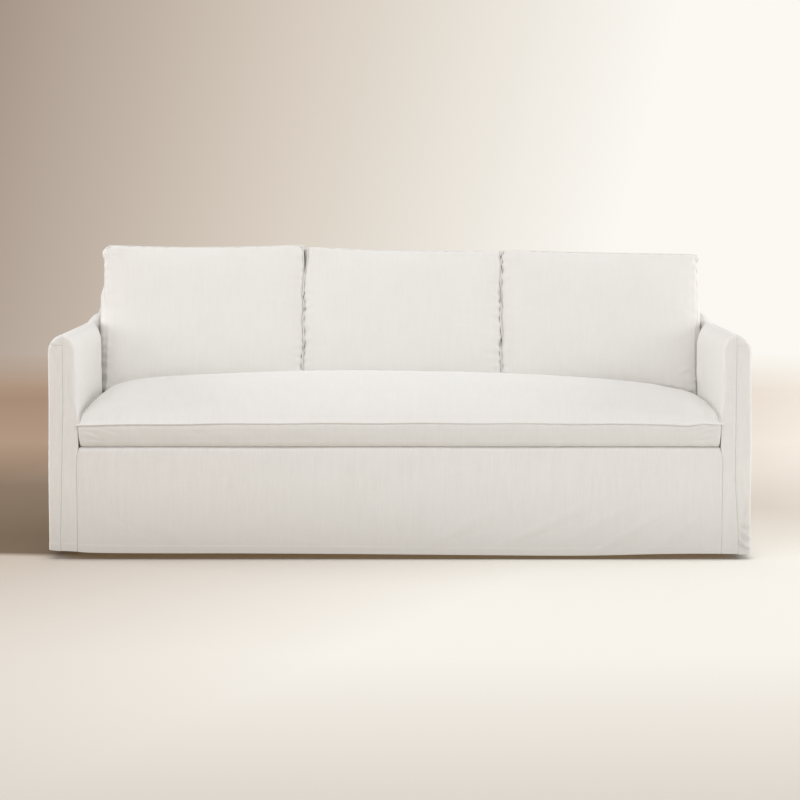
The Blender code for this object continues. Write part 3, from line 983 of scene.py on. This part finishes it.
band_long = 2 * (BACK_TOP - BACK_CORNER - ridge_height(BACK_TOP_Y) + SHEET + BACK_CORNER * pi / 2)
band_long += 2 * (RIDGE - SEAM / 2 - BACK_CORNER)
along = [band_long * i / 200 for i in range(201)]
over = [at / BAND_DEEP for at in rows(BAND_DEEP, 0.01)]
band = panel("back_boxing_cloth", [(along, over, boxing_place, boxing_relief, (0, 0), 1)])
sew_in(band, "back_boxing")

# %% [markdown]
# ## Filled cushions
#
# A boxed cushion is two faces and a strip of boxing between them, filled until it is firm. The
# model starts as a box of six grids set to the cushion's crowned shape. Blender's cloth then
# blows it up for twenty frames with its seams held and the cloth let out by a fraction, which
# gives the same pulls and ripples that real filling does. Only the fine part of that movement is
# kept, so the crown stays as it was set: a cushion that is only blown up becomes a pillow with
# pointed corners. One subdivision, the drawn-in seams and a narrow sewn edge come after it.


# %% A box of cloth
def round_corner(u, v, halves, radii):
    """How far a point moves in when the square corner of a face is made round."""
    a = max(0.0, 1 - (1 - abs(u)) * halves[0] / radii[0])
    b = max(0.0, 1 - (1 - abs(v)) * halves[1] / radii[1])
    in_u = radii[0] * a * (1 - sqrt(1 - b * b / 2))
    in_v = radii[1] * b * (1 - sqrt(1 - a * a / 2))
    return (in_u if u > 0 else -in_u), (in_v if v > 0 else -in_v)


def box_of_cloth(name, counts, place):
    """Six grids closed into a box; each point keeps its own u, v, w as an attribute."""
    mesh = bmesh.new()
    spot = mesh.verts.layers.float_vector.new("spot")
    for axis in range(3):
        a, b = [i for i in range(3) if i != axis]
        for end in (-1.0, 1.0):
            made = bmesh.ops.create_grid(
                mesh, x_segments=counts[a], y_segments=counts[b], size=1.0
            )["verts"]
            for vert in made:
                at = [0.0, 0.0, 0.0]
                at[axis], at[a], at[b] = end, vert.co.x, vert.co.y
                vert.co = at
    bmesh.ops.remove_doubles(mesh, verts=mesh.verts, dist=0.00001)
    bmesh.ops.recalc_face_normals(mesh, faces=mesh.faces)
    held = []
    for i, vert in enumerate(mesh.verts):
        at = [c * (1.22 - 0.22 * c * c) for c in vert.co]  # closer rows towards the seams
        if sum(abs(c) > 0.9999 for c in at) > 1:
            held.append(i)
        vert[spot] = at
        vert.co = place(*at)
    mesh.normal_update()
    if mesh.calc_volume(signed=True) < 0:
        bmesh.ops.reverse_faces(mesh, faces=mesh.faces)
    sharp = mesh.edges.layers.float.new("crease_edge")
    for edge in mesh.edges:
        ends = [v[spot] for v in edge.verts]
        rim = all(abs(at.z) > 0.9999 and max(abs(at.x), abs(at.y)) > 0.9999 for at in ends)
        edge[sharp] = 0.9 if rim else 0.0
    data = bpy.data.meshes.new(name)
    mesh.to_mesh(data)
    mesh.free()
    return placed(name, data), held


print("the corner of a square goes in by", round(round_corner(1, 1, (1, 1), (1, 1))[0], 3))


# %% How the filling ripples the cloth
PRESSURE, FRAMES = 4.0, 20
SMOOTHINGS = 50  # passes that leave the broad part of the movement


def positions(data):
    found = np.empty(len(data.vertices) * 3)
    data.vertices.foreach_get("co", found)
    return found.reshape(-1, 3)


def ripples(made, held, let_out, cap):
    """The fine part of how the cloth moves when it is blown up with its seams held."""
    start = positions(made.data)
    seams = made.vertex_groups.new(name="seams")
    seams.add(held, 1.0, "REPLACE")
    cloth = made.modifiers.new("cloth", "CLOTH")
    cloth.settings.use_pressure = True
    cloth.settings.uniform_pressure_force = PRESSURE
    cloth.settings.effector_weights.gravity = 0.0
    cloth.settings.vertex_group_mass = "seams"
    cloth.settings.shrink_min = -let_out
    cloth.settings.bending_stiffness = 0.5
    cloth.collision_settings.use_collision = False
    cloth.collision_settings.use_self_collision = False
    cloth.point_cache.frame_start, cloth.point_cache.frame_end = 1, FRAMES
    for at in range(1, FRAMES + 1):
        bpy.context.scene.frame_set(at)
    graph = bpy.context.evaluated_depsgraph_get()
    moved = positions(made.evaluated_get(graph).data) - start
    made.modifiers.remove(cloth)
    made.vertex_groups.clear()
    bpy.context.scene.frame_set(1)

    ends = np.empty(len(made.data.edges) * 2, dtype=np.int64)
    made.data.edges.foreach_get("vertices", ends)
    a, b = ends.reshape(-1, 2).T
    count = np.bincount(np.concatenate([a, b]), minlength=len(start))[:, None]
    even = moved.copy()
    for _ in range(SMOOTHINGS):
        near = np.stack(
            [
                np.bincount(a, even[b, k], len(start)) + np.bincount(b, even[a, k], len(start))
                for k in range(3)
            ],
            axis=1,
        )
        even = 0.5 * even + 0.5 * near / count
        even[held] = 0.0
    fine = moved - even
    size = np.linalg.norm(fine, axis=1, keepdims=True)
    return fine * np.minimum(1.0, cap / np.maximum(size, 1e-9))


print("frames of blowing up:", FRAMES)


# %% Sewn edges
def seam_distance(spots, halves):
    """Distance of each point to the nearest seam, along the face that it is on."""
    away = (1 - np.abs(spots)) * np.array(halves)
    away.sort(axis=1)
    return away[:, 1]


def welt(name, points, radius):
    """The narrow ridge where two panels are sewn, as a closed tube along the seam."""
    curve = bpy.data.curves.new(name, "CURVE")
    curve.dimensions = "3D"
    run = curve.splines.new("POLY")
    run.points.add(len(points) - 1)
    for point, at in zip(run.points, points):
        point.co = (*at, 1.0)
    run.use_cyclic_u = True
    curve.bevel_depth = radius
    curve.bevel_resolution = 1
    made = placed(name, curve)
    graph = bpy.context.evaluated_depsgraph_get()
    data = bpy.data.meshes.new_from_object(made.evaluated_get(graph))
    bpy.data.objects.remove(made)
    return data


def loop_of(place, axis, end, counts):
    """Points round the edge of one face of the box."""
    a, b = [i for i in range(3) if i != axis]
    round_it = []
    for fixed, runs, value, forward in ((b, a, -1, 1), (a, b, 1, 1), (b, a, 1, -1), (a, b, -1, -1)):
        for i in range(counts[runs]):
            at = [0.0, 0.0, 0.0]
            at[axis], at[fixed] = end, value
            at[runs] = forward * (2 * i / counts[runs] - 1)
            round_it.append(place(*at))
    return round_it


print("sewn edges ready")


# %% The finished cushion
RIPPLE_CAP = 0.022  # no ripple moves the cloth further
DRAWN_IN, DRAWN_WIDE = 0.0026, 0.010  # at a seam


def cushion(name, node, counts, place, halves, let_out, keep, detail, welts, limit):
    """Blown up from place, of these half sizes; welts are (axis, end, radius)."""
    made, held = box_of_cloth(name, counts, place)
    fine = ripples(made, held, let_out, RIPPLE_CAP)
    made.data.vertices.foreach_set("co", (positions(made.data) + keep * fine).ravel())
    round_off = made.modifiers.new("round", "SUBSURF")
    round_off.levels = round_off.render_levels = 1
    graph = bpy.context.evaluated_depsgraph_get()
    data = bpy.data.meshes.new_from_object(made.evaluated_get(graph))
    made.modifiers.clear()
    made.data = data

    spots = np.empty(len(data.vertices) * 3)
    data.attributes["spot"].data.foreach_get("vector", spots)
    spots = np.clip(spots.reshape(-1, 3), -1, 1)
    normals = np.empty(len(data.vertices) * 3)
    data.vertex_normals.foreach_get("vector", normals)
    away = seam_distance(spots, halves)
    at = positions(data)
    out = -DRAWN_IN * np.clip(1 - away / DRAWN_WIDE, 0, 1) ** 2
    out += 0.0009 * bell((away - 0.015) / 0.006)  # the fold of the seam allowance
    at += normals.reshape(-1, 3) * (out + detail(spots, at, away))[:, None]
    data.vertices.foreach_set("co", limit(at, spots).ravel())

    laid = data.uv_layers.new(name="cut")
    for face in data.polygons:
        face.use_smooth = True
        middle = spots[list(face.vertices)].mean(axis=0)
        axis = int(np.argmax(np.abs(middle)))
        a, b = [i for i in range(3) if i != axis] if axis else (2, 1)
        for loop in face.loop_indices:
            spot = spots[data.loops[loop].vertex_index]
            laid.data[loop].uv = (spot[a] * halves[a] + axis * 0.37, spot[b] * halves[b])

    joined = bmesh.new()
    joined.from_mesh(data)
    for axis, end, radius in welts:
        steps = [max(int(2 * half / 0.004), 4) for half in halves]
        edge = welt(f"{name}_edge", loop_of(place, axis, end, steps), radius)
        joined.from_mesh(edge)
    for face in joined.faces:
        face.smooth = True
    joined.to_mesh(data)
    joined.free()
    data.materials.clear()
    data.materials.append(LINEN)
    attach(made, "root")
    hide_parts(node)
    low, high = at.min(axis=0).round(3), at.max(axis=0).round(3)
    print(f"{name}: {len(data.polygons)} faces, {low} to {high}")
    return made


# %% [markdown]
# ## The seat cushion
#
# One long bench cushion with thin boxing and a high crown, fuller on the left of the middle than
# on the right. Its upper front seam stands out as a thin lip, a little wavy towards the right, and
# the boxing under it tucks in towards the deck. The crown is the product of two tables, one over
# the width and one over the depth, because a filled cushion falls off at different rates that way.

# %% Seat cushion
SEAT_HALF = 0.9745
SEAT_FRONT, SEAT_REAR = -0.4845, 0.284
SEAT_HALF_DEEP = 0.384  # half the depth, for the round corners
SEAT_LIP = 0.404  # height of the upper front seam
LIFT = 0.0006  # the cushion's clearance over the deck
BOXING_OUT, LIP_OUT = 0.0135, 0.0155  # how far the boxing and its lip stand forward
ENDS_OUT = 0.9815  # half the width in front of the arms, where the ends lie over their fronts
LIP_WAVES = (
    # x, width and height of a wave in the lip
    (0.925, 0.020, 0.0022),
    (0.865, 0.030, -0.0030),
)

CROWN = (
    # x, z of the crown over the cushion's width
    (-0.9745, 0.446),
    (-0.940, 0.472),
    (-0.885, 0.493),
    (-0.790, 0.506),
    (-0.560, 0.517),
    (-0.280, 0.525),
    (0.000, 0.523),
    (0.330, 0.517),
    (0.660, 0.498),
    (0.790, 0.486),
    (0.860, 0.477),
    (0.910, 0.464),
    (0.9745, 0.444),
)
DEPTH = (
    # y, share of the crown over the cushion's depth
    (-0.4845, 0.00),
    (-0.470, 0.20),
    (-0.440, 0.40),
    (-0.390, 0.58),
    (-0.300, 0.78),
    (-0.180, 0.94),
    (-0.050, 1.00),
    (0.045, 0.93),
    (0.095, 0.74),
    (0.128, 0.44),
    (0.160, 0.33),
    (0.200, 0.27),
    (0.260, 0.15),
    (0.284, 0.05),
)
SEAT_CREASES = (
    # x, height over the deck, x, height, half width, depth, on the front boxing
    (-0.965, 0.058, -0.900, 0.030, 0.0050, 0.0020),
    (-0.945, 0.066, -0.850, 0.045, 0.0045, 0.0014),
    (-0.960, 0.030, -0.890, 0.018, 0.0040, 0.0014),
    (0.965, 0.060, 0.905, 0.034, 0.0050, 0.0022),
    (0.940, 0.064, 0.860, 0.048, 0.0045, 0.0016),
    (0.955, 0.034, 0.900, 0.020, 0.0040, 0.0016),
    (-0.560, 0.030, -0.640, 0.055, 0.0060, 0.0008),
    (0.420, 0.022, 0.560, 0.034, 0.0060, 0.0007),
)


print("crown at the middle:", read(CROWN, 0.0), "creases:", len(SEAT_CREASES))


# %% Shape of the seat
def seat_place(u, v, w):
    """u, v and w run from -1 to 1: left to right, front to rear and deck to crown."""
    x = u * SEAT_HALF
    y = mix(SEAT_FRONT, SEAT_REAR, (v + 1) / 2)
    lift = (w + 1) / 2
    low = (1 - lift) ** 2.2
    front_end = abs(u) ** 30 * ease((-v - 0.97) / 0.03)
    x = mix(x, u * (ENDS_OUT - (0.0050 + 0.0030 * (u < 0)) * low), front_end)
    plump = mix(0.008, 0.003, lift)
    in_x, in_y = round_corner(u, v, (SEAT_HALF, SEAT_HALF_DEEP), (plump, plump))
    x, y = x - in_x * (0.3 if v < 0 else 1.0), y - in_y
    lip = SEAT_LIP + 0.005 * (1 - u * u) - 0.002 * (u < 0) * u * u
    for wave_at, wide, high in LIP_WAVES:
        lip += high * float(bell((x - wave_at) / wide))
    lip += 0.0007 * sin(x * 21) * max(-v, 0)
    rise = read(CROWN, x) - SEAT_LIP
    roll = sqrt(max(0.0, 1 - (1 - min((1 - abs(u)) / 0.009, 1.0)) ** 2))
    fuller = 0.5 * abs(u) ** 8 * ease((0.8 - v) / 0.6)
    front = y - LIP_OUT * ease((-v - 0.96) / 0.04)
    share = max(read(DEPTH, front), 0.0) ** (1 - fuller)
    top = lip + max(rise, 0.0) * share * (0.82 + 0.18 * roll)
    if w < 1:
        z = mix(DECK + LIFT, top, lift)
        bulge = 0.0040 * sin(pi * lift) - 0.012 * (1 - lift) ** 1.3
        if v < -0.9999:
            bulge += BOXING_OUT + (LIP_OUT - BOXING_OUT) * ease((lift - 0.85) / 0.15)
            bulge -= 0.007 * max(1 - lift / 0.09, 0.0) ** 1.5
        if abs(v) > 0.9999:
            y += v * bulge
        if abs(u) > 0.9999:
            x += u * min(bulge, 0.0) * 0.20
        return x, y, z
    return x, front, top


def seat_detail(spots, at, away):
    x, z = at[:, 0], at[:, 2] - DECK
    front = (spots[:, 1] < -0.99) & (np.abs(spots[:, 2]) < 0.98)
    out = creased(x, z, SEAT_CREASES) * front
    out += puckered(x, away, 0.043, 0.018, 0.0006, 0.4) * (np.abs(spots[:, 1]) > 0.7)
    top = spots[:, 2] > 0.99
    return out + slack(x, at[:, 1], 0.0010, 0.7) * top


def seat_limit(at, spots):
    """Keeps it off the deck and between the arms; only the lip's ends lie over their fronts."""
    wide = np.where(at[:, 1] < FRONT - 0.0005, ENDS_OUT - 0.001, INNER - 0.001)
    at[:, 0] = np.clip(at[:, 0], -wide, wide)
    at[:, 2] = np.maximum(at[:, 2], DECK + 0.0004)
    return at


print("front lip at:", [round(c, 4) for c in seat_place(0, -1, 1)])

# %% Seat, filled
seat = cushion(
    "seat_cushion_filled",
    "seat_cushion",
    (132, 54, 10),
    seat_place,
    (SEAT_HALF, (SEAT_REAR - SEAT_FRONT) / 2, 0.037),
    0.006,
    0.45,
    seat_detail,
    ((2, 1.0, 0.0026), (2, -1.0, 0.0014)),
    seat_limit,
)
# painted shade: the seat cushion takes its own copy of the linen, painted darker than the back
# cushions' for the light on its top
seat.data.materials[0] = linen("seat_linen", tone=1.015, streaky=0.5)

# %% [markdown]
# ### The strip round the seat
#
# The boxing is sewn between the top and the bottom panel of the seat cushion. It is the same linen,
# painted a little darker: a painted shade for the dimmer light under the lip. It could be a mesh of
# its own, but the cushion is one closed body, so its faces below the lip take a second material
# instead.

# %% Boxing strip
# painted shade: the faces below the lip take a darker copy of the linen
seat.data.materials.append(linen("shaded_boxing_linen", tone=0.968, streaky=0.6))
for face in seat.data.polygons:
    if face.center.z < SEAT_LIP - 0.004:
        face.material_index = 1
print("boxing faces:", sum(face.material_index for face in seat.data.polygons))

# %% [markdown]
# ## The back cushions
#
# Three boxed cushions lean on the back and stand on the seat. Their sides press together, so the
# seams between them gather into small uneven puckers. The two outer top corners stand out as
# ears, and the arms hold the outer sides in lower down. A repeating wave would give gathers that
# are too regular, so the line of each front seam is a table of its own.

# %% Where the back cushions meet
REST_LEAN = 0.222  # sine of the lean
REST_AT = (0.112, 0.461)  # y, z of the front lower edge
BACK_CUSHIONS = (
    # name, left x, right x, top at left, top at right, sag
    ("left", -0.9880, -0.3180, 0.9305, 0.9320, 0.0085),
    ("middle", -0.3180, 0.3373, 0.9250, 0.9130, 0.0070),
    ("right", 0.3373, 0.9960, 0.9140, 0.9000, 0.0020),
)
MEETINGS = {
    # z, and where the front seams of the two neighbours run, both measured from the middle line;
    # where the two differ the seam gapes
    -0.3180: (
        (0.531, -0.0040, -0.0034),
        (0.564, -0.0030, -0.0030),
        (0.592, 0.0010, 0.0043),
        (0.614, 0.0005, 0.0005),
        (0.637, 0.0000, 0.0000),
        (0.683, -0.0033, -0.0033),
        (0.703, -0.0005, -0.0005),
        (0.713, -0.0004, 0.0032),
        (0.726, -0.0002, 0.0000),
        (0.739, -0.0003, -0.0003),
        (0.754, -0.0022, 0.0012),
        (0.765, -0.0033, -0.0030),
        (0.798, -0.0007, -0.0007),
        (0.828, 0.0012, 0.0014),
        (0.845, 0.0012, 0.0042),
        (0.864, 0.0010, 0.0088),
        (0.881, -0.0003, 0.0112),
        (0.904, -0.0020, 0.0120),
        (0.930, -0.0033, 0.0119),
    ),
    0.3373: (
        (0.521, 0.0000, 0.0010),
        (0.584, -0.0030, -0.0030),
        (0.597, -0.0030, -0.0005),
        (0.610, -0.0038, 0.0018),
        (0.624, -0.0010, 0.0010),
        (0.637, 0.0023, 0.0023),
        (0.657, 0.0010, 0.0010),
        (0.690, -0.0030, -0.0030),
        (0.716, 0.0000, 0.0000),
        (0.733, -0.0010, -0.0006),
        (0.742, -0.0020, 0.0016),
        (0.756, -0.0028, -0.0012),
        (0.782, -0.0030, -0.0014),
        (0.822, 0.0000, 0.0000),
        (0.838, 0.0008, 0.0010),
        (0.851, 0.0008, 0.0044),
        (0.865, 0.0008, 0.0010),
        (0.875, 0.0000, 0.0002),
        (0.884, -0.0026, 0.0020),
        (0.898, 0.0010, 0.0030),
        (0.917, 0.0043, 0.0099),
    ),
}
MEETING_DEEP = 0.5  # share of the boxing's half depth over which the seam's wander dies out


def seam_wander(line, x_side, z, w):
    """How far a front seam strays at a height, and less and less behind it."""
    table = np.array(MEETINGS[line])
    stray = np.interp(z, table[:, 0], table[:, 1 if x_side > 0 else 2])
    return stray * (1 - soft((w + 1) / MEETING_DEEP))


print("seams between cushions at x =", list(MEETINGS))

# %% Ears, pressed sides and creases
FRONT_FACE, REAR_FACE = 0.030, 0.178  # how far behind the front foot each face lies, unfilled
FRONT_FULL, REAR_FULL = 0.030, 0.024  # how far the filling pushes each face out
EARS = {
    # outward push, its height as a share, its spread, width and height of the round corner
    "left": (0.0080, 0.940, 0.045, 0.030, 0.034),
    "right": (0.0070, 0.966, 0.034, 0.017, 0.019),
}
PRESSED = {
    # how far the arm presses the outer side in, from which height, over which, and the let-down
    # of the outer lower corner
    "left": (0.010, 0.66, 0.14, 0.026),
    "right": (0.009, 0.54, 0.14, 0.036),
}
BOXING_FULL = {"left": (0.013, 0.74), "right": (0.003, 0.60)}
EAR_CREASES = {
    # x, z, x, z, half width, depth
    "left": (
        (-0.976, 0.918, -0.952, 0.892, 0.0060, 0.0026),
        (-0.962, 0.896, -0.930, 0.876, 0.0065, 0.0014),
    ),
    "middle": ((-0.306, 0.900, -0.302, 0.860, 0.0030, 0.0014),),
    "right": (
        (0.981, 0.890, 0.984, 0.864, 0.0050, 0.0024),
        (0.972, 0.520, 0.930, 0.490, 0.0080, 0.0016),
    ),
}


print("ears and pressed sides:", sorted(EARS), "lean:", round(degrees(asin(REST_LEAN)), 1), "degrees")


# %% Shape of a back cushion
def back_place(name, left, right, top_left, top_right, sag):
    """Gives the function that places u (left to right), v (up) and w (front to rear)."""
    lean = sqrt(1 - REST_LEAN**2)
    foot_y, foot_z = REST_AT
    width = right - left
    ear, ear_at, ear_spread, corner_wide, corner_high = EARS.get(name, (0, 1, 1, 0, 0))
    press, press_at, press_over, let_down = PRESSED.get(name, (0, 1, 1, 0))
    full, full_at = BOXING_FULL.get(name, (0, 1))

    def place(u, v, w):
        across, up = (u + 1) / 2, (v + 1) / 2
        tall = (mix(top_left, top_right, across) - foot_z) / lean
        tall -= sag * (1 - u * u) * max(v, 0)
        free = (name == "left") * (u < 0) + (name == "right") * (u > 0)
        thick = mix(FRONT_FACE, REAR_FACE, (w + 1) / 2)
        x = left + across * width
        s = up * tall
        corner = abs(u) ** 14 * abs(v) ** 14
        s -= v * (0.003 + 0.002 * (v < 0)) * corner
        if free:
            squeeze = press * ease((press_at - up) / press_over)
            squeeze -= ear * float(bell((up - ear_at) / ear_spread)) * (1 - w) / 2
            x -= u * abs(u) ** 8 * squeeze * (1 - 0.7 * ease((w + 1) / 0.5))
            s -= let_down * abs(u) ** 3.2 * (1 - up) ** 2
            round_by = (corner_wide, corner_high) if v > 0 else (0.006, 0.010)
        else:
            if abs(u) > 0.5:
                line = right if u > 0 else left
                x += abs(u) ** 10 * seam_wander(line, u, foot_z + s * lean, w)
            round_by = (0.005, 0.008) if v > 0 else (0.002, 0.004)
        in_x, in_s = round_corner(u, v, (width / 2, tall / 2), round_by)
        x, s = x - in_x, s - in_s
        if abs(u) > 0.9999:
            flat = 1 - cos(pi * w / 2)
            if free:
                x -= u * (0.006 * flat + 0.002 * w * w)
                x += u * full * ease((full_at - up) / 0.08) * (1 - flat)
                touch = arm_inside(foot_y + s * REST_LEAN + thick * lean) - 0.0015
                beside = ease((w + 1) / 0.22) * ease((0.66 - up) / 0.08) * (1 - ease(w) * 0.5)
                x = mix(x, u * touch, beside * (0.75 if u > 0 else 0.36))
            else:
                x -= u * 0.0013 * w * w
        if abs(v) > 0.9999:
            s += v * 0.008 * cos(pi * w / 2) - v * 0.006
        if w < -0.9999:
            fill = (1 - abs(u) ** 3.3) ** 0.67 * (1 - abs(v) ** (3.0 if v > 0 else 5.0)) ** 0.64
            thick -= FRONT_FULL * fill + 0.006 * (1 - u * u) * max(-v, 0) * (1 + v)
        if w > 0.9999:
            fill = (1 - abs(u) ** 4) ** 0.6 * (1 - abs(v) ** 4) ** 0.6
            thick += REAR_FULL * fill
        y = foot_y + s * REST_LEAN + thick * lean
        z = foot_z + s * lean - thick * REST_LEAN + 0.006
        return x, y, z

    return place


print("shape of a back cushion ready")

# %% Back cushions
CUSHION_PHASE = {"left": 0.5, "middle": 2.2, "right": 3.7}  # where the waves of the slack start
BETWEEN_ARMS = 1.0015  # half the width that the three cushions share


def back_cushion(name, left, right, top_left, top_right, sag):
    phase = CUSHION_PHASE[name]

    def detail(spots, at, away):
        x, z = at[:, 0], at[:, 2]
        face = spots[:, 2] < -0.99
        out = slack(x * 1.3, z * 1.6, 0.0018, phase) * face * soft(away / 0.05)
        out += creased(x, z, EAR_CREASES[name]) * face
        side = np.abs(spots[:, 0]) > 0.9
        out += puckered(z, away, 0.033, 0.024, 0.0020, phase) * side
        return out + puckered(x, away, 0.047, 0.018, 0.0008, phase) * ~side

    def limit(at, spots):
        """Each neighbour keeps to its own side of the seam."""
        z = REST_AT[1] + (spots[:, 1] + 1) / 2 * (top_left - REST_AT[1])
        if name != "left":
            low = left + seam_wander(left, -1, z, spots[:, 2]) + 0.0002
            at[:, 0] = np.maximum(at[:, 0], low)
        if name != "right":
            high = right + seam_wander(right, 1, z, spots[:, 2]) - 0.0002
            at[:, 0] = np.minimum(at[:, 0], high)
        at[:, 0] = np.clip(at[:, 0], -BETWEEN_ARMS, BETWEEN_ARMS)
        return at

    return cushion(
        f"back_cushion_filled_{name}",
        f"back_cushion_{name}",
        (62, 66, 14),
        back_place(name, left, right, top_left, top_right, sag),
        ((right - left) / 2, 0.24, 0.074),
        0.008,
        0.5,
        detail,
        ((2, -1.0, 0.0016), (2, 1.0, 0.0014)),
        limit,
    )


for row in BACK_CUSHIONS:
    back_cushion(*row)

# %% [markdown]
# ## Studio
#
# The cloth is so pale that hard light would burn it out. A bright, even surround lights it from
# everywhere. One wide softbox, high in front, lights the seat and the apron, and one at each side
# models the arms and the folds. Under and behind the cover lies a paper sweep, bent up into a wall
# without a corner.


# %% The sweep's shape
FLOOR = -0.0125
WALL_AT, BEND = 5.0, 0.30
SWEEP_FRONT, SWEEP_TOP, SWEEP_HALF = -7.5, 5.0, 9.0


def sweep():
    mesh = bmesh.new()
    made = bmesh.ops.create_grid(mesh, x_segments=8, y_segments=120, size=1.0)["verts"]
    flat, arc = WALL_AT - BEND - SWEEP_FRONT, BEND * pi / 2
    whole = flat + arc + SWEEP_TOP - BEND
    for vert in made:
        at = (vert.co.y + 1) / 2 * whole
        x = vert.co.x * SWEEP_HALF
        if at < flat:
            vert.co = (x, SWEEP_FRONT + at, FLOOR)
        elif at < flat + arc:
            turn = (at - flat) / BEND
            vert.co = (x, WALL_AT - BEND + BEND * sin(turn), FLOOR + BEND * (1 - cos(turn)))
        else:
            vert.co = (x, WALL_AT, FLOOR + BEND + at - flat - arc)
    bmesh.ops.recalc_face_normals(mesh, faces=mesh.faces)
    lowest = min(mesh.faces, key=lambda face: face.calc_center_median().z)
    if lowest.normal.z < 0:
        bmesh.ops.reverse_faces(mesh, faces=mesh.faces)
    data = bpy.data.meshes.new("sweep")
    mesh.to_mesh(data)
    mesh.free()
    data.shade_smooth()
    return placed("sweep", data)


ground = sweep()
print("sweep:", len(ground.data.polygons), "faces")

# %% [markdown]
# ### The paper
#
# The light over a large sweep is never even. Here the wall glows by itself, a painted light from
# brown at the left to nearly white at the right, and the floor takes the cover's real contact shadow
# but carries two wide painted shades of its own, beside the left arm and beside the right arm, and a
# faint brown painted glow in the shadow under the hem. Painting them is simpler than hanging screens
# between the lights and the floor, and it leaves the light on the cloth alone. It looks right from
# the front only.

# %% The sweep's paper
paper = Finish("paper")
spot = paper.node("SeparateXYZ", Vector=paper.node("TexCoord", output="Object")).socket.node
px, py, pz = (Value(paper.tree, spot.outputs[axis]) for axis in "XYZ")
BLACK = (0.0, 0.0, 0.0)

# painted shade: the floor is painted darker to the left and to the rear, and darker and browner near
# the front, and it carries its own painted shades
shade = (0.12 - px * 0.33 + (py + 0.76) * 0.15).between(0.0, 1.0)
even = paper.blend(shade, (0.885, 0.858, 0.805), (0.385, 0.278, 0.204))
even = paper.blend((py * -1).between(1.9, 3.5) * 0.6, even, (0.65, 0.585, 0.52))
right_shade = px.between(0.8, 1.0) * px.between(2.8, 1.3) * py.between(-0.45, 0.6)
even = paper.blend(right_shade * 0.75, even, (0.640, 0.565, 0.495))
left_shade = px.between(-0.90, -1.00) * (py + px * 0.12).between(-0.57, -0.50)
left_shade = left_shade * py.between(2.7, 1.2)
floor = paper.blend(left_shade * 0.97, even, (0.205, 0.150, 0.104))
# painted light: where a faint brown glow lifts the contact shadow under the hem
under = (px * px).between(1.10, 0.98) * py.between(-0.50, -0.44) * py.between(0.45, 0.35)

# the wall's glow, and the weak glow that lifts the rear of the floor towards it
dusk = 0.33 - px * 0.27 + (pz - 1.0) * 0.07
lit = paper.blend(dusk.between(0.0, 0.5), (0.965, 0.945, 0.890), (0.700, 0.625, 0.540))
wall_glow = paper.blend(dusk.between(0.5, 1.0), lit, (0.372, 0.292, 0.238))
floor_glow = paper.blend(py.between(0.0, 2.6) * 0.33, BLACK, even)
# painted light: the brown glow in the shadow under the hem
floor_glow = paper.blend(under, floor_glow, (0.078, 0.050, 0.024))
standing = pz.between(0.02, 0.20)
paper.set(
    Base_Color=paper.blend(standing, floor, BLACK),
    Emission_Color=paper.blend(standing, floor_glow, wall_glow),
    Emission_Strength=1.0,
    Roughness=0.9,
    Specular_IOR_Level=0.0,
)
print("paper:", len(paper.tree.nodes), "nodes")

# %% A paper with one side
# From behind and from below it is clear, so that it hides nothing of the cover.
one_sided = paper.node(
    "MixShader",
    _0=paper.node("NewGeometry", output="Backfacing"),
    _1=Value(paper.tree, paper.shader.outputs[0]),
    _2=paper.node("BsdfTransparent"),
)
paper.tree.links.new(one_sided.socket, paper.tree.nodes["Material Output"].inputs["Surface"])
ground.data.materials.append(paper.material)
print("seen from behind: clear")


# %% Lights and surround
WHITE = (1.0, 1.0, 1.0)
SOFTBOXES = (
    # name, place, what it points at, width and height, watts
    ("front_light", (-0.35, -2.6, 3.3), (0, 0, 0.4), (5.0, 1.4), 37),
    ("left_light", (-4.8, -0.1, 1.7), (0, -0.2, 0.5), (2.4, 2.0), 72),
    ("right_light", (4.8, -0.1, 1.7), (0, -0.2, 0.5), (2.4, 2.0), 70),
)


def softbox(name, at, aim, size, power):
    light = bpy.data.lights.new(name, "AREA")
    light.shape = "RECTANGLE"
    light.size, light.size_y = size
    light.energy = power
    light.color = WHITE
    made = placed(name, light)
    made.visible_camera = False
    made.location = at
    made.rotation_euler = (Vector(aim) - Vector(at)).to_track_quat("-Z", "Y").to_euler()
    print(f"{name}: {power} W")


for name, at, aim, size, power in SOFTBOXES:
    softbox(name, at, aim, size, power)
surround = bpy.data.worlds.new("surround")
surround.use_nodes = True
background = surround.node_tree.nodes["Background"]
background.inputs["Color"].default_value = (1.0, 0.985, 0.970, 1.0)
background.inputs["Strength"].default_value = 0.71
bpy.context.scene.world = surround
bpy.context.scene.view_settings.view_transform = "Standard"
